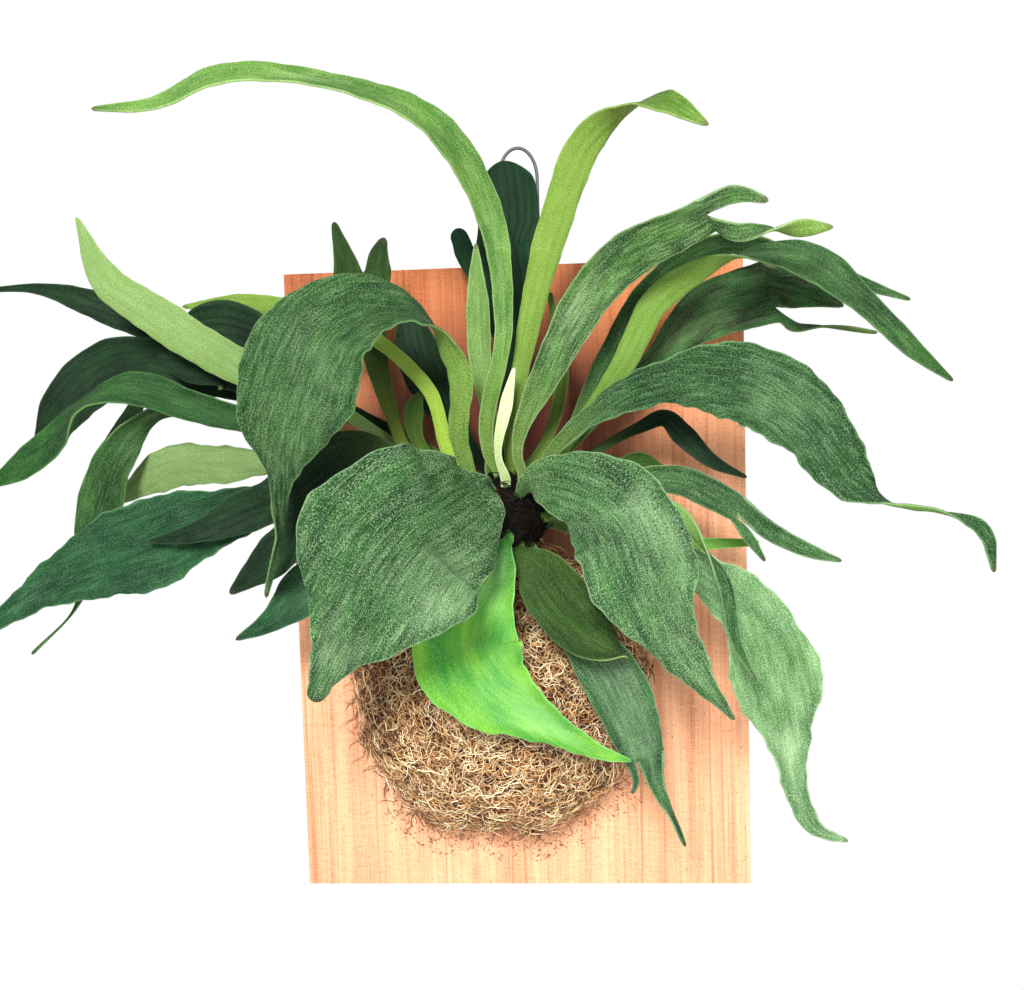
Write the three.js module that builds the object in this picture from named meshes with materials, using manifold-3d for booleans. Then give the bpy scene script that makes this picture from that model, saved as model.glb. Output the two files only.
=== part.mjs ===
// A mounted staghorn fern: a cedar board that hangs on a wire loop, a mound of dry moss on the board,
// a brown crown above the moss, and forked fronds that each stand in a plain socket in the crown.
//
// Millimetres, +X right, +Y towards the wall, +Z up. The origin is on the wall, at the nail that the
// wire loop hangs on. Inside the plant group the board's back face is centred on zero.
import * as THREE from 'three';
import { mergeVertices } from 'three/addons/utils/BufferGeometryUtils.js';
import Module from 'manifold-3d';

const wasm = await Module();
wasm.setup();

// ---------------------------------------------------------------- driving dimensions
const BOARD = { width: 286, height: 395, thick: 19 };
const WIRE = { radius: 1, halfSpan: 12, archHeight: 19, rise: 75, depth: 22, offset: 6, sides: 8, steps: 32,
  bendSteps: 8, holeSides: 16 };
const MOSS = { x: -14, z: -63, halfWidth: 92, halfHeight: 96, depth: 70, fullness: 2.5, roundness: 0.45,
  sides: 40, rings: 9 };
const MOSS_LUMPS = [{ share: 0.02, count: 5, turn: 0 }, { share: 0.015, count: 9, turn: 1 }];
const CROWN = { x: -5, out: 70, z: 48, halfWidth: 26, halfDepth: 40, halfHeight: 24, sides: 18, rings: 12 };
const STALK = { width: 5, flare: 0.5, thick: 3, sunk: 5, thinFrom: 1, thinOver: 2 };   // a frond's root
const SOCKET_END = 2;   // the knot that a frond's socket in the crown reaches
const BLADE = { thick: 1.4, cup: 0.08, cupBase: 0.35, waveFullWidth: 25, waveLag: 1.7, forkLag: 1.3,
  rowSpacing: 15, leastWidth: 1.5 };
const GAP = 0.3;                                 // clearance between two pieces that touch
const NAIL_ABOVE_CENTRE = BOARD.height / 2 + WIRE.rise - 2 * WIRE.radius;

// ---------------------------------------------------------------- colours
const TONES = {
  deep: 0x4f7550, grey: 0x6b8c70, mid: 0x739a5c, light: 0x9dbb5e, pale: 0xa9c985, lime: 0x7fc968,
  dark: 0x2f4c3b, blue: 0x456f59, olive: 0x53712f, white: 0xd6dfb4,
};
const CEDAR = 0xd9a574;
const DRY_MOSS = 0x9a7350;
const BROWN_ROOT = 0x4a3524;
const GALVANISED = 0x9a9c9c;

// ---------------------------------------------------------------- the fronds
// Each frond has a base [angle, out]: where its stalk leaves the crown, as an angle in degrees round
// the crown (0 to the right, 90 up) and a distance out from the wall. Its path is a list of points
// [x, out, z, width, turn]: the middle of the blade, out from the wall, its width there, and how far
// it is turned about its own length. Turn 0 shows the upper face to the front and 180 the underside.
// across is the number of patches across the blade, waves gives the edge's ruffle in millimetres and
// in waves per length. At its end a blade may fork: each fork takes some of the patches, in order
// from the blade's left side, and goes on along a path of its own.
const FRONDS = {
  "tall_left_arch": {
    "base": [92, 84], "tone": "mid", "across": 4,
    "path": [[-10, 85, 80, 7, 0], [0, 95, 155, 10, -5], [-5, 110, 210, 15, -15], [-30, 140, 250, 18, -30],
      [-75, 160, 265, 15, -45], [-130, 175, 265, 12, -25], [-155, 175, 255, 8, -20], [-190, 170, 255, 2, 0]],
  },
  "young_pale_strap": {
    "base": [106, 70], "tone": "pale", "across": 4,
    "path": [[-10, 75, 85, 6, 0], [-15, 80, 140, 13, 0], [-15, 85, 170, 12, 0], [-15, 85, 200, 2, 0]],
  },
  "back_upright": {
    "base": [90, 42], "tone": "dark", "across": 4,
    "path": [[-5, 40, 90, 8, 0], [0, 40, 130, 12, 0], [-2, 40, 165, 24, 0], [-7, 37, 205, 50, 0]],
    "forks": [
      {"take": 1, "path": [[-31, 37, 218, 10, 0]]},
      {"take": 3, "path": [[1, 36, 224, 37, 0], [0, 36, 242, 34, 0], [-2, 36, 257, 22, 0]]},
    ],
  },
  "tall_right_strap": {
    "base": [78, 72], "tone": "light", "across": 4,
    "path": [[0, 75, 80, 6, 180], [10, 80, 140, 11, 180], [30, 90, 210, 18, 175], [50, 105, 250, 18, 150],
      [70, 120, 260, 16, 80], [85, 140, 255, 15, 20], [105, 150, 240, 2, 0]],
  },
  "upper_right_broad": {
    "base": [60, 84], "tone": "deep", "across": 4,
    "path": [[5, 85, 80, 6, 0], [25, 95, 130, 18, 0], [60, 110, 180, 25, -10], [105, 135, 200, 20, -35]],
    "forks": [
      {"take": 2, "path": [[120, 135, 210, 9, -20], [135, 140, 205, 3, 0]]},
      {"take": 2, "path": [[120, 140, 190, 9, -10], [135, 145, 190, 10, 70], [150, 145, 190, 10, 140],
        [165, 145, 190, 2, 170]]},
    ],
  },
  "thin_upright": {
    "base": [66, 57], "tone": "light", "across": 4,
    "path": [[15, 55, 80, 6, 0], [30, 55, 120, 8, 0], [30, 60, 145, 8, 0], [25, 60, 175, 3, 0]],
  },
  "right_inner_dark": {
    "base": [38, 57], "tone": "deep", "across": 4,
    "path": [[30, 60, 85, 6, 0], [60, 65, 140, 13, 0], [85, 70, 175, 16, -5], [120, 85, 195, 15, -50],
      [165, 90, 180, 12, -20], [220, 90, 160, 2, 0]],
  },
  "right_folded": {
    "base": [40, 72], "tone": "deep", "across": 4,
    "path": [[35, 75, 90, 7, 180], [65, 85, 130, 13, 180], [85, 90, 165, 16, 175], [110, 100, 180, 14, 135],
      [135, 105, 185, 14, 50], [160, 110, 180, 20, 10], [190, 115, 155, 13, 0], [215, 115, 130, 9, 0],
      [235, 110, 115, 2, 0]],
  },
  "right_back_broad": {
    "base": [42, 42], "tone": "dark", "across": 4,
    "path": [[30, 45, 80, 6, 0], [85, 50, 135, 12, 0], [115, 60, 160, 32, 0], [150, 65, 170, 36, 0]],
    "forks": [
      {"take": 3, "path": [[165, 65, 170, 20, 0], [190, 70, 160, 2, 0]]},
      {"take": 1, "path": [[165, 60, 150, 7, 30], [180, 60, 150, 6, 80], [210, 65, 145, 2, 160]]},
    ],
  },
  "right_long_wavy": {
    "base": [32, 84], "tone": "grey", "across": 4, "waves": [3, 4],
    "path": [[20, 90, 75, 6, 0], [60, 95, 110, 16, 0], [95, 110, 120, 28, 0], [130, 120, 115, 44, 5],
      [155, 135, 95, 38, 5], [175, 145, 65, 20, 10], [190, 145, 55, 9, 70], [215, 150, 50, 6, 100],
      [235, 150, 40, 8, 20], [240, 150, 20, 2, 0]],
  },
  "right_small_dark": {
    "base": [8, 57], "tone": "dark", "across": 4,
    "path": [[35, 60, 70, 5, 0], [75, 60, 95, 7, 0], [90, 65, 100, 10, 0], [100, 65, 90, 13, 0],
      [115, 70, 75, 8, 0], [135, 70, 65, 2, 0]],
  },
  "right_stub": {
    "base": [-16, 57], "tone": "olive", "across": 4,
    "path": [[35, 55, 55, 5, 0], [60, 55, 70, 9, 0], [75, 60, 75, 12, 0], [90, 60, 70, 3, 0]],
  },
  "lime_finger": {
    "base": [-8, 42], "tone": "lime", "across": 2,
    "path": [[25, 45, 40, 5, 0], [65, 50, 25, 6, 0], [95, 50, 25, 8, 0], [145, 50, 25, 4, 0]],
  },
  "front_right_broad": {
    "base": [50, 100], "tone": "grey", "across": 6, "waves": [2.5, 3],
    "path": [[11, 107, 66, 12, 0], [22, 116, 68, 26, 0], [40, 127, 64, 42, 0], [60, 138, 47, 56, 0],
      [70, 145, 20, 56, 0], [80, 145, -5, 34, 0], [100, 145, -35, 12, 0], [115, 140, -55, 2, 0]],
  },
  "right_pronged": {
    "base": [12, 72], "tone": "grey", "across": 4,
    "path": [[35, 75, 60, 6, 0], [60, 80, 65, 9, 0], [95, 85, 65, 17, 0], [125, 95, 50, 15, 0]],
    "forks": [
      {"take": 3, "path": [[145, 100, 35, 10, 0], [165, 100, 25, 7, 0], [180, 100, 20, 2, 0]]},
      {"take": 1, "path": [[130, 95, 35, 6, 0], [140, 95, 20, 2, 0]]},
    ],
  },
  "right_narrow_twist": {
    "base": [-5, 84], "tone": "grey", "across": 4,
    "path": [[30, 90, 55, 6, 180], [60, 95, 55, 7, 180], [90, 105, 50, 9, 180], [105, 110, 30, 7, 100],
      [115, 115, 10, 8, 10], [120, 120, -20, 6, 0], [130, 120, -40, 2, 0]],
  },
  "lower_right_broad": {
    "base": [-14, 72], "tone": "grey", "across": 4, "waves": [2.5, 4],
    "path": [[30, 75, 40, 7, 0], [60, 80, 30, 10, 0], [105, 90, 15, 22, 0], [135, 100, -15, 38, 0],
      [145, 100, -50, 48, 0], [150, 100, -75, 26, 0], [155, 95, -105, 14, 0], [165, 95, -130, 9, 0],
      [185, 90, -140, 2, 0]],
  },
  "front_round": {
    "base": [105, 102], "tone": "grey", "across": 6, "waves": [3, 3],
    "path": [[-11, 112, 68, 8, 0], [-16, 122, 63, 44, 0], [-28, 138, 55, 74, 0], [-44, 155, 47, 90, 0],
      [-55, 168, 34, 96, 0], [-70, 170, 10, 64, 0], [-80, 165, -5, 36, 0], [-100, 150, -40, 6, 0]],
  },
  "front_lime": {
    "base": [-65, 105], "tone": "lime", "across": 4, "waves": [1.5, 2],
    "path": [[-2, 112, 34, 8, 0], [-7, 116, 20, 24, 0], [-17, 117, 2, 44, 0], [-23, 118, -20, 60, 0],
      [-12, 117, -43, 50, 0], [8, 116, -57, 30, 0], [30, 113, -72, 15, 0], [48, 108, -82, 8, 0],
      [64, 105, -88, 2, 0]],
  },
  "lower_olive": {
    "base": [-60, 95], "tone": "olive", "across": 4,
    "path": [[5, 100, 28, 10, 0], [14, 105, 20, 26, 0], [28, 110, 2, 34, 0], [42, 114, -14, 30, 0],
      [53, 116, -22, 18, 40], [63, 115, -28, 4, 120]],
  },
  "lower_middle": {
    "base": [-50, 84], "tone": "grey", "across": 4,
    "path": [[15, 90, 10, 8, 0], [30, 95, -10, 18, 0], [56, 100, -45, 34, 0], [72, 95, -88, 24, 0]],
    "forks": [
      {"take": 3, "path": [[80, 90, -110, 8, 0], [87, 90, -125, 6, 60], [95, 85, -145, 2, 0]]},
      {"take": 1, "path": [[67, 95, -103, 4, 0], [65, 90, -112, 2, 0]]},
    ],
  },
  "left_pronged": {
    "base": [175, 84], "tone": "dark", "across": 4,
    "path": [[-40, 90, 65, 8, 0], [-60, 95, 75, 20, 0], [-80, 100, 80, 35, 0], [-125, 110, 50, 46, 0]],
    "forks": [
      {"take": 2, "path": [[-130, 110, 30, 22, 0], [-155, 110, 10, 3, 0]]},
      {"take": 2, "path": [[-145, 110, 55, 23, 0], [-170, 115, 45, 12, 0], [-200, 110, 40, 2, 0]]},
    ],
  },
  "lower_left_blade": {
    "base": [222, 72], "tone": "blue", "across": 4,
    "path": [[-40, 75, 30, 7, 0], [-90, 85, 20, 24, 0], [-115, 85, 10, 30, 0], [-140, 90, -10, 13, 0],
      [-160, 90, -20, 2, 0]],
  },
  "left_arch_broad": {
    "base": [125, 95], "tone": "deep", "across": 6, "waves": [2, 3],
    "path": [[-25, 100, 85, 9, -170], [-25, 108, 130, 14, -160], [-36, 118, 152, 18, -105],
      [-48, 128, 161, 26, -50], [-62, 137, 162, 36, -25], [-85, 150, 150, 52, -10], [-100, 155, 120, 60, 0],
      [-110, 150, 95, 42, 0], [-115, 140, 75, 15, 0], [-120, 130, 45, 8, 75], [-130, 125, 10, 2, 0]],
  },
  "two_pronged_olive": {
    "base": [125, 57], "tone": "olive", "across": 4,
    "path": [[-35, 60, 75, 6, 0], [-60, 65, 85, 7, 0], [-70, 65, 110, 9, 0], [-80, 70, 165, 22, 0],
      [-82, 70, 188, 34, 0]],
    "forks": [
      {"take": 2, "path": [[-94, 70, 203, 10, 0], [-98, 70, 218, 3, 0]]},
      {"take": 2, "path": [[-72, 70, 200, 10, 0], [-69, 70, 208, 4, 0]]},
    ],
  },
  "left_light_strap": {
    "base": [128, 72], "tone": "light", "across": 4,
    "path": [[-30, 75, 75, 7, 180], [-45, 80, 120, 8, 180], [-75, 80, 150, 8, 180], [-125, 65, 170, 11, 180],
      [-165, 55, 175, 12, 180], [-195, 55, 175, 2, 180]],
  },
  "left_pale": {
    "base": [152, 57], "tone": "pale", "across": 4,
    "path": [[-45, 55, 70, 6, 180], [-85, 60, 100, 7, 180], [-115, 75, 120, 12, 180],
      [-150, 85, 135, 20, 180], [-195, 95, 165, 22, 180], [-220, 100, 185, 18, 180],
      [-235, 100, 220, 2, 180]],
  },
  "left_back_round": {
    "base": [135, 42], "tone": "dark", "across": 4,
    "path": [[-50, 45, 85, 6, 0], [-115, 55, 120, 16, 0], [-145, 65, 140, 44, 0], [-165, 70, 150, 52, 0],
      [-190, 70, 145, 32, 0], [-205, 70, 145, 8, 0]],
  },
  "left_back_broad": {
    "base": [200, 42], "tone": "dark", "across": 4,
    "path": [[-50, 45, 55, 6, 0], [-130, 45, 110, 9, 0], [-160, 50, 125, 16, 0], [-215, 55, 140, 36, 0]],
    "forks": [
      {"take": 1, "path": [[-230, 50, 115, 10, 0], [-250, 50, 95, 2, 0]]},
      {"take": 3, "path": [[-240, 55, 140, 35, 0], [-270, 60, 115, 28, 0], [-285, 55, 90, 16, 0]]},
    ],
  },
  "left_green_arch": {
    "base": [165, 72], "tone": "deep", "across": 4,
    "path": [[-45, 75, 70, 6, 0], [-120, 80, 95, 9, 0], [-180, 90, 115, 18, 0], [-210, 100, 125, 20, -25],
      [-240, 100, 115, 18, -60], [-255, 95, 100, 20, -25], [-275, 95, 85, 16, 0], [-305, 90, 70, 2, 0]],
  },
  "left_long_broad": {
    "base": [190, 72], "tone": "blue", "across": 4, "waves": [2, 3],
    "path": [[-40, 75, 55, 7, 0], [-105, 90, 60, 12, 0], [-150, 100, 55, 27, 0], [-210, 105, 35, 50, 0],
      [-240, 105, 25, 36, 0], [-270, 105, 10, 19, 0], [-315, 100, -20, 2, 0]],
  },
  "left_pale_wide": {
    "base": [206, 55], "tone": "pale", "across": 4, "waves": [1.5, 2],
    "path": [[-45, 55, 45, 6, 180], [-125, 60, 80, 10, 180], [-170, 65, 80, 21, 180], [-200, 65, 80, 26, 180],
      [-240, 60, 60, 6, 180]],
  },
  "left_twisted": {
    "base": [178, 57], "tone": "deep", "across": 4,
    "path": [[-50, 60, 60, 6, 0], [-125, 60, 95, 7, 0], [-180, 70, 115, 9, 0], [-210, 75, 110, 14, 60],
      [-230, 80, 85, 22, 10], [-240, 80, 60, 27, 0], [-250, 80, 25, 14, 0], [-260, 75, 0, 3, 0],
      [-290, 75, -30, 2, 0]],
  },
  "far_left_point": {
    "base": [168, 42], "tone": "dark", "across": 4,
    "path": [[-50, 40, 75, 6, 0], [-135, 45, 125, 9, 0], [-200, 45, 160, 20, 0], [-240, 50, 175, 20, 0],
      [-290, 50, 190, 6, 0], [-320, 50, 190, 2, 0]],
  },
  "young_white_tip": {
    "base": [80, 95], "tone": "white", "across": 2,
    "path": [[-5, 95, 80, 4, 0], [0, 95, 110, 7, 0], [5, 95, 130, 2, 0]],
  },
  "young_olive": {
    "base": [140, 65], "tone": "olive", "across": 4,
    "path": [[-35, 65, 70, 5, 0], [-55, 70, 95, 9, 0], [-55, 70, 110, 11, 0], [-50, 70, 120, 2, 0]],
  },
  "young_dark": {
    "base": [112, 44], "tone": "dark", "across": 4,
    "path": [[-20, 46, 78, 7, 0], [-38, 48, 105, 18, 0], [-50, 48, 130, 27, 0], [-57, 47, 152, 24, 0],
      [-58, 46, 175, 3, 0]],
  },
};

// ---------------------------------------------------------------- solids
const TOWARDS_WALL = new THREE.Vector3(0, 1, 0);

function weld(geometry) {
  const bare = geometry.index ? geometry.toNonIndexed() : geometry.clone();
  bare.deleteAttribute('normal');
  bare.deleteAttribute('uv');
  return mergeVertices(bare, 1e-4);
}

function toSolid(geometry) {
  const welded = weld(geometry);
  return new wasm.Manifold(new wasm.Mesh({
    numProp: 3,
    vertProperties: new Float32Array(welded.attributes.position.array),
    triVerts: new Uint32Array(welded.index.array),
  }));
}

function toGeometry(solid) {
  const mesh = solid.getMesh();
  const geometry = new THREE.BufferGeometry();
  geometry.setAttribute('position', new THREE.Float32BufferAttribute(mesh.vertProperties, 3));
  geometry.setIndex(new THREE.Uint32BufferAttribute(mesh.triVerts, 1));
  return geometry;
}

function addPart(group, name, geometry, color, roughness, metalness = 0) {
  const material = new THREE.MeshStandardMaterial({ color, roughness, metalness });
  const part = new THREE.Mesh(geometry, material);
  part.name = name;
  group.add(part);
  return part;
}

// ---------------------------------------------------------------- frond skins
// A skin is the middle surface of a frond: points, the thickness at each, and four-sided patches.

function toKnot([x, out, z, width, turn]) {
  return [x, -out, z, width, turn];
}

function knotPoint(knot) {
  return new THREE.Vector3(knot[0], knot[1], knot[2]);
}

// The slope of each value at each knot: the mean of the slopes of the stretches beside it, where the
// shorter stretch counts more.
function knotSlopes(knots, lengths) {
  const chords = lengths.map((length, i) => knots[i].map((value, k) => (knots[i + 1][k] - value) / length));
  return knots.map((knot, i) => {
    if (i === 0) return chords[0];
    if (i === lengths.length) return chords.at(-1);
    const whole = lengths[i - 1] + lengths[i];
    return knot.map((_, k) => (chords[i - 1][k] * lengths[i] + chords[i][k] * lengths[i - 1]) / whole);
  });
}

// The smooth curve's values and direction at a share t of one stretch: a cubic that has its two knots'
// slopes at its ends.
function curvePoint(a, b, slopeA, slopeB, length, t) {
  const knot = a.map((value, k) => (2 * t ** 3 - 3 * t ** 2 + 1) * value + (3 * t ** 2 - 2 * t ** 3) * b[k]
    + length * ((t ** 3 - 2 * t ** 2 + t) * slopeA[k] + (t ** 3 - t ** 2) * slopeB[k]));
  const rate = a.map((value, k) => (6 * t ** 2 - 6 * t) * (value - b[k])
    + length * ((3 * t ** 2 - 4 * t + 1) * slopeA[k] + (3 * t ** 2 - 2 * t) * slopeB[k]));
  return { knot, direction: knotPoint(rate).normalize() };
}

// Places along the smooth curve through the knots, about a row's spacing apart, counted in knots.
function curvePlaces(knots) {
  const lengths = knots.slice(1).map((knot, i) => knotPoint(knot).distanceTo(knotPoint(knots[i])));
  const slopes = knotSlopes(knots, lengths);
  const at = (i, t) => ({
    place: i + t,
    ...curvePoint(knots[i], knots[i + 1], slopes[i], slopes[i + 1], lengths[i], t),
  });
  const places = lengths.flatMap((length, i) => {
    const count = Math.max(1, Math.round(length / BLADE.rowSpacing));
    return Array.from({ length: count }, (_, j) => at(i, j / count));
  });
  return [...places, at(lengths.length - 1, 1)];
}

// The two directions that a blade's width and its upper face take at a knot.
function bladeFrame(direction, turnDegrees) {
  const right = TOWARDS_WALL.clone().cross(direction).normalize();
  const front = right.clone().cross(direction);
  const turn = THREE.MathUtils.degToRad(turnDegrees);
  const side = right.multiplyScalar(Math.cos(turn)).addScaledVector(front, Math.sin(turn));
  return { side, face: side.clone().cross(direction) };
}

// One row of points across the blade: straight along its side, cupped, and waved at its edges.
function bladeRow(knot, direction, across, waves, along, phase) {
  const { side, face } = bladeFrame(direction, knot[4]);
  const width = Math.max(knot[3], BLADE.leastWidth);
  const [height, count] = waves;
  const swell = height * Math.min(1, width / BLADE.waveFullWidth);
  const row = [];
  for (let i = 0; i <= across; i += 1) {
    const v = (2 * i) / across - 1;
    const wave = swell * v * v * Math.sin(2 * Math.PI * count * along + phase + BLADE.waveLag * Math.sign(v));
    const cup = BLADE.cup * width * (v * v - BLADE.cupBase);
    const point = knotPoint(knot).addScaledVector(side, 0.5 * width * v);
    row.push(point.addScaledVector(face, cup + wave));
  }
  return row;
}

function bladeRows(knots, across, waves, phase) {
  const last = knots.length - 1;
  return curvePlaces(knots).map(({ place, knot, direction }) => ({
    place,
    points: bladeRow(knot, direction, across, waves, place / last, phase),
  }));
}

function addRow(skin, row, thick) {
  return row.map((point) => {
    skin.points.push(point);
    skin.thick.push(thick);
    return skin.points.length - 1;
  });
}

function addPatches(skin, below, above) {
  for (let i = 0; i + 1 < below.length; i += 1) {
    skin.patches.push([below[i], below[i + 1], above[i + 1], above[i]]);
  }
}

// Moves a fork's rows so that they start as the row that it shares with its parent and ease over to the
// fork's own rows by its first knot.
function easeFromParent(rows, sharedPoints) {
  const shifts = sharedPoints.map((point, i) => point.clone().sub(rows[0].points[i]));
  for (const { place, points } of rows) {
    const left = THREE.MathUtils.smoothstep(1 - place, 0, 1);
    points.forEach((point, i) => point.addScaledVector(shifts[i], left));
  }
}

// Grows a blade from a row that it shares with its parent, and then its forks from its own last row.
function growBlade(skin, knots, across, waves, forks, phase, shared, thickAt) {
  const rows = bladeRows(knots, across, waves, phase);
  if (shared) easeFromParent(rows, shared.map((i) => skin.points[i]));
  let below = shared ?? addRow(skin, rows[0].points, thickAt(0));
  for (let i = 1; i < rows.length; i += 1) {
    const above = addRow(skin, rows[i].points, thickAt(rows[i].place));
    addPatches(skin, below, above);
    below = above;
  }
  let first = 0;
  forks.forEach((fork, i) => {
    const share = below.slice(first, first + fork.take + 1);
    first += fork.take;
    growFork(skin, fork, share, knots.at(-1)[4], waves, phase + BLADE.forkLag * (i + 1));
  });
}

function growFork(skin, fork, share, turn, waves, phase) {
  const left = skin.points[share[0]];
  const right = skin.points[share.at(-1)];
  const middle = left.clone().add(right).multiplyScalar(0.5);
  const start = [middle.x, middle.y, middle.z, left.distanceTo(right), turn];
  const knots = [start, ...fork.path.map(toKnot)];
  growBlade(skin, knots, fork.take, waves, fork.forks ?? [], phase, share, () => BLADE.thick);
}

// The crown's surface point where a stalk leaves it, and the point that its root is sunk to.
function stalkRoot([angle, out], sunk) {
  const turn = THREE.MathUtils.degToRad(angle);
  const shrink = Math.sqrt(1 - ((out - CROWN.out) / CROWN.halfDepth) ** 2);
  const dx = CROWN.halfWidth * Math.cos(turn) * shrink;
  const dz = CROWN.halfHeight * Math.sin(turn) * shrink;
  const inner = 1 - sunk / Math.hypot(dx, dz);
  return {
    surface: [CROWN.x + dx, -out, CROWN.z + dz],
    root: [CROWN.x + dx * inner, -out, CROWN.z + dz * inner],
  };
}

function frondKnots(frond, sunk, widen) {
  const path = frond.path.map(toKnot);
  const turn = path[0][4];
  const { surface, root } = stalkRoot(frond.base, sunk);
  const knots = [[...root, STALK.width, turn], [...surface, STALK.width + STALK.flare, turn], ...path];
  return knots.map(([x, y, z, width, twist]) => [x, y, z, width + widen, twist]);
}

// A stalk is thick as far as knot 1, at the crown's surface, and thins to the blade by knot 3.
function frondThickness(place) {
  const thinned = THREE.MathUtils.clamp((place - STALK.thinFrom) / STALK.thinOver, 0, 1);
  return THREE.MathUtils.lerp(STALK.thick, BLADE.thick, thinned);
}

function frondSkin(frond) {
  const skin = { points: [], thick: [], patches: [] };
  const waves = frond.waves ?? [0, 0];
  const knots = frondKnots(frond, STALK.sunk, 0);
  growBlade(skin, knots, frond.across, waves, frond.forks ?? [], 0, null, frondThickness);
  return skin;
}

function skinNormals(skin) {
  const normals = skin.points.map(() => new THREE.Vector3());
  for (const [a, b, c, d] of skin.patches) {
    const ac = skin.points[c].clone().sub(skin.points[a]);
    const bd = skin.points[d].clone().sub(skin.points[b]);
    const facing = ac.cross(bd);
    [a, b, c, d].forEach((i) => normals[i].add(facing));
  }
  return normals.map((normal) => normal.normalize());
}

// The open edges of a skin, each in the direction that its patch runs.
function openEdges(skin) {
  const edges = new Map();
  for (const patch of skin.patches) {
    patch.forEach((from, i) => {
      const to = patch[(i + 1) % 4];
      if (!edges.delete(`${to} ${from}`)) edges.set(`${from} ${to}`, [from, to]);
    });
  }
  return [...edges.values()];
}

// Thickens a skin to a closed body: an upper and a lower sheet, split alike, with a rim between them.
function thicken(skin) {
  const normals = skinNormals(skin);
  const count = skin.points.length;
  const position = [];
  for (const sign of [1, -1]) {
    skin.points.forEach((point, i) => {
      const moved = point.clone().addScaledVector(normals[i], sign * 0.5 * skin.thick[i]);
      position.push(moved.x, moved.y, moved.z);
    });
  }
  const index = [];
  for (const [a, b, c, d] of skin.patches) {
    index.push(a, b, c, a, c, d);
    index.push(a + count, c + count, b + count, a + count, d + count, c + count);
  }
  for (const [from, to] of openEdges(skin)) {
    index.push(to, from, from + count, to, from + count, to + count);
  }
  const geometry = new THREE.BufferGeometry();
  geometry.setAttribute('position', new THREE.Float32BufferAttribute(position, 3));
  geometry.setIndex(index);
  return geometry;
}

// The hole that a stalk stands in: its root and its first stretch, wider all round by the gap.
function stalkSocket(frond) {
  const skin = { points: [], thick: [], patches: [] };
  const knots = frondKnots(frond, STALK.sunk + GAP, 2 * GAP);
  const rows = bladeRows(knots, frond.across, frond.waves ?? [0, 0], 0);
  const inside = rows.filter(({ place }) => place <= SOCKET_END);
  const placed = inside.map(({ points }) => addRow(skin, points, STALK.thick + 2 * GAP));
  for (let i = 1; i < placed.length; i += 1) addPatches(skin, placed[i - 1], placed[i]);
  return toSolid(thicken(skin));
}

// ---------------------------------------------------------------- board, wire, moss and crown

function makeBoard() {
  const board = new THREE.BoxGeometry(BOARD.width, BOARD.thick, BOARD.height);
  board.translate(0, -BOARD.thick / 2, 0);
  let solid = toSolid(board);
  const depth = WIRE.depth + 2 * GAP;
  for (const side of [-1, 1]) {
    const hole = new THREE.CylinderGeometry(WIRE.radius + GAP, WIRE.radius + GAP, 2 * depth, WIRE.holeSides);
    hole.rotateX(Math.PI / 2);
    hole.translate(WIRE.offset + side * WIRE.halfSpan, -BOARD.thick / 2, BOARD.height / 2);
    solid = solid.subtract(toSolid(hole));
  }
  return toGeometry(solid);
}

// One wire, up out of the left hole, over in half an ellipse and down into the right hole.
function makeWire() {
  const { radius, halfSpan, archHeight, rise, depth, offset, sides, steps, bendSteps } = WIRE;
  const archFoot = BOARD.height / 2 + rise - radius - archHeight;
  const foot = BOARD.height / 2 - depth;
  const at = (x, z) => new THREE.Vector3(offset + x, -BOARD.thick / 2, z);
  const bend = [];
  for (let i = 0; i <= bendSteps; i += 1) {
    const angle = Math.PI * (1 - i / bendSteps);
    bend.push(at(halfSpan * Math.cos(angle), archFoot + archHeight * Math.sin(angle)));
  }
  const path = new THREE.CurvePath();
  path.add(new THREE.LineCurve3(at(-halfSpan, foot), bend[0]));
  path.add(new THREE.CatmullRomCurve3(bend));
  path.add(new THREE.LineCurve3(bend.at(-1), at(halfSpan, foot)));
  const section = new THREE.Shape();
  for (let i = 0; i < sides; i += 1) {
    const angle = (2 * Math.PI * (i + 0.5)) / sides;
    const place = [radius * Math.cos(angle), radius * Math.sin(angle)];
    if (i === 0) section.moveTo(...place);
    else section.lineTo(...place);
  }
  return new THREE.ExtrudeGeometry(section, { steps, bevelEnabled: false, extrudePath: path });
}

// A dome turned about the way out of the board: flat at the back, full at the front, a little lumpy.
function makeMossDome() {
  const profile = [];
  for (let i = 0; i <= MOSS.rings; i += 1) {
    const r = i === 0 ? 0 : Math.sin((Math.PI / 2) * (i / MOSS.rings));
    profile.push(new THREE.Vector2(r, (1 - r ** MOSS.fullness) ** MOSS.roundness));
  }
  profile.push(new THREE.Vector2(0, 0));
  const dome = new THREE.LatheGeometry(profile, MOSS.sides);
  const place = dome.attributes.position;
  for (let i = 0; i < place.count; i += 1) {
    const x = place.getX(i);
    const h = place.getY(i);
    const z = place.getZ(i);
    const angle = Math.atan2(z, x);
    const swells = MOSS_LUMPS.map(({ share, count, turn }) => share * Math.sin(count * angle + turn));
    const lump = 1 + swells[0] + swells[1];
    const out = BOARD.thick + MOSS.depth * h;
    place.setXYZ(i, MOSS.x + MOSS.halfWidth * x * lump, -out, MOSS.z + MOSS.halfHeight * z * lump);
  }
  return dome;
}

function makeCrownBall(swell) {
  const { halfWidth, halfDepth, halfHeight, sides, rings } = CROWN;
  const ball = new THREE.SphereGeometry(1, sides, rings);
  ball.rotateX(Math.PI / 2);
  ball.scale(halfWidth + swell, halfDepth + swell, halfHeight + swell);
  ball.translate(CROWN.x, -CROWN.out, CROWN.z);
  return toSolid(ball);
}

function makeMoss() {
  return toGeometry(toSolid(makeMossDome()).subtract(makeCrownBall(2 * GAP)));
}

function makeCrown(fronds) {
  const sockets = fronds.map(stalkSocket);
  return toGeometry(sockets.reduce((crown, socket) => crown.subtract(socket), makeCrownBall(0)));
}

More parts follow.
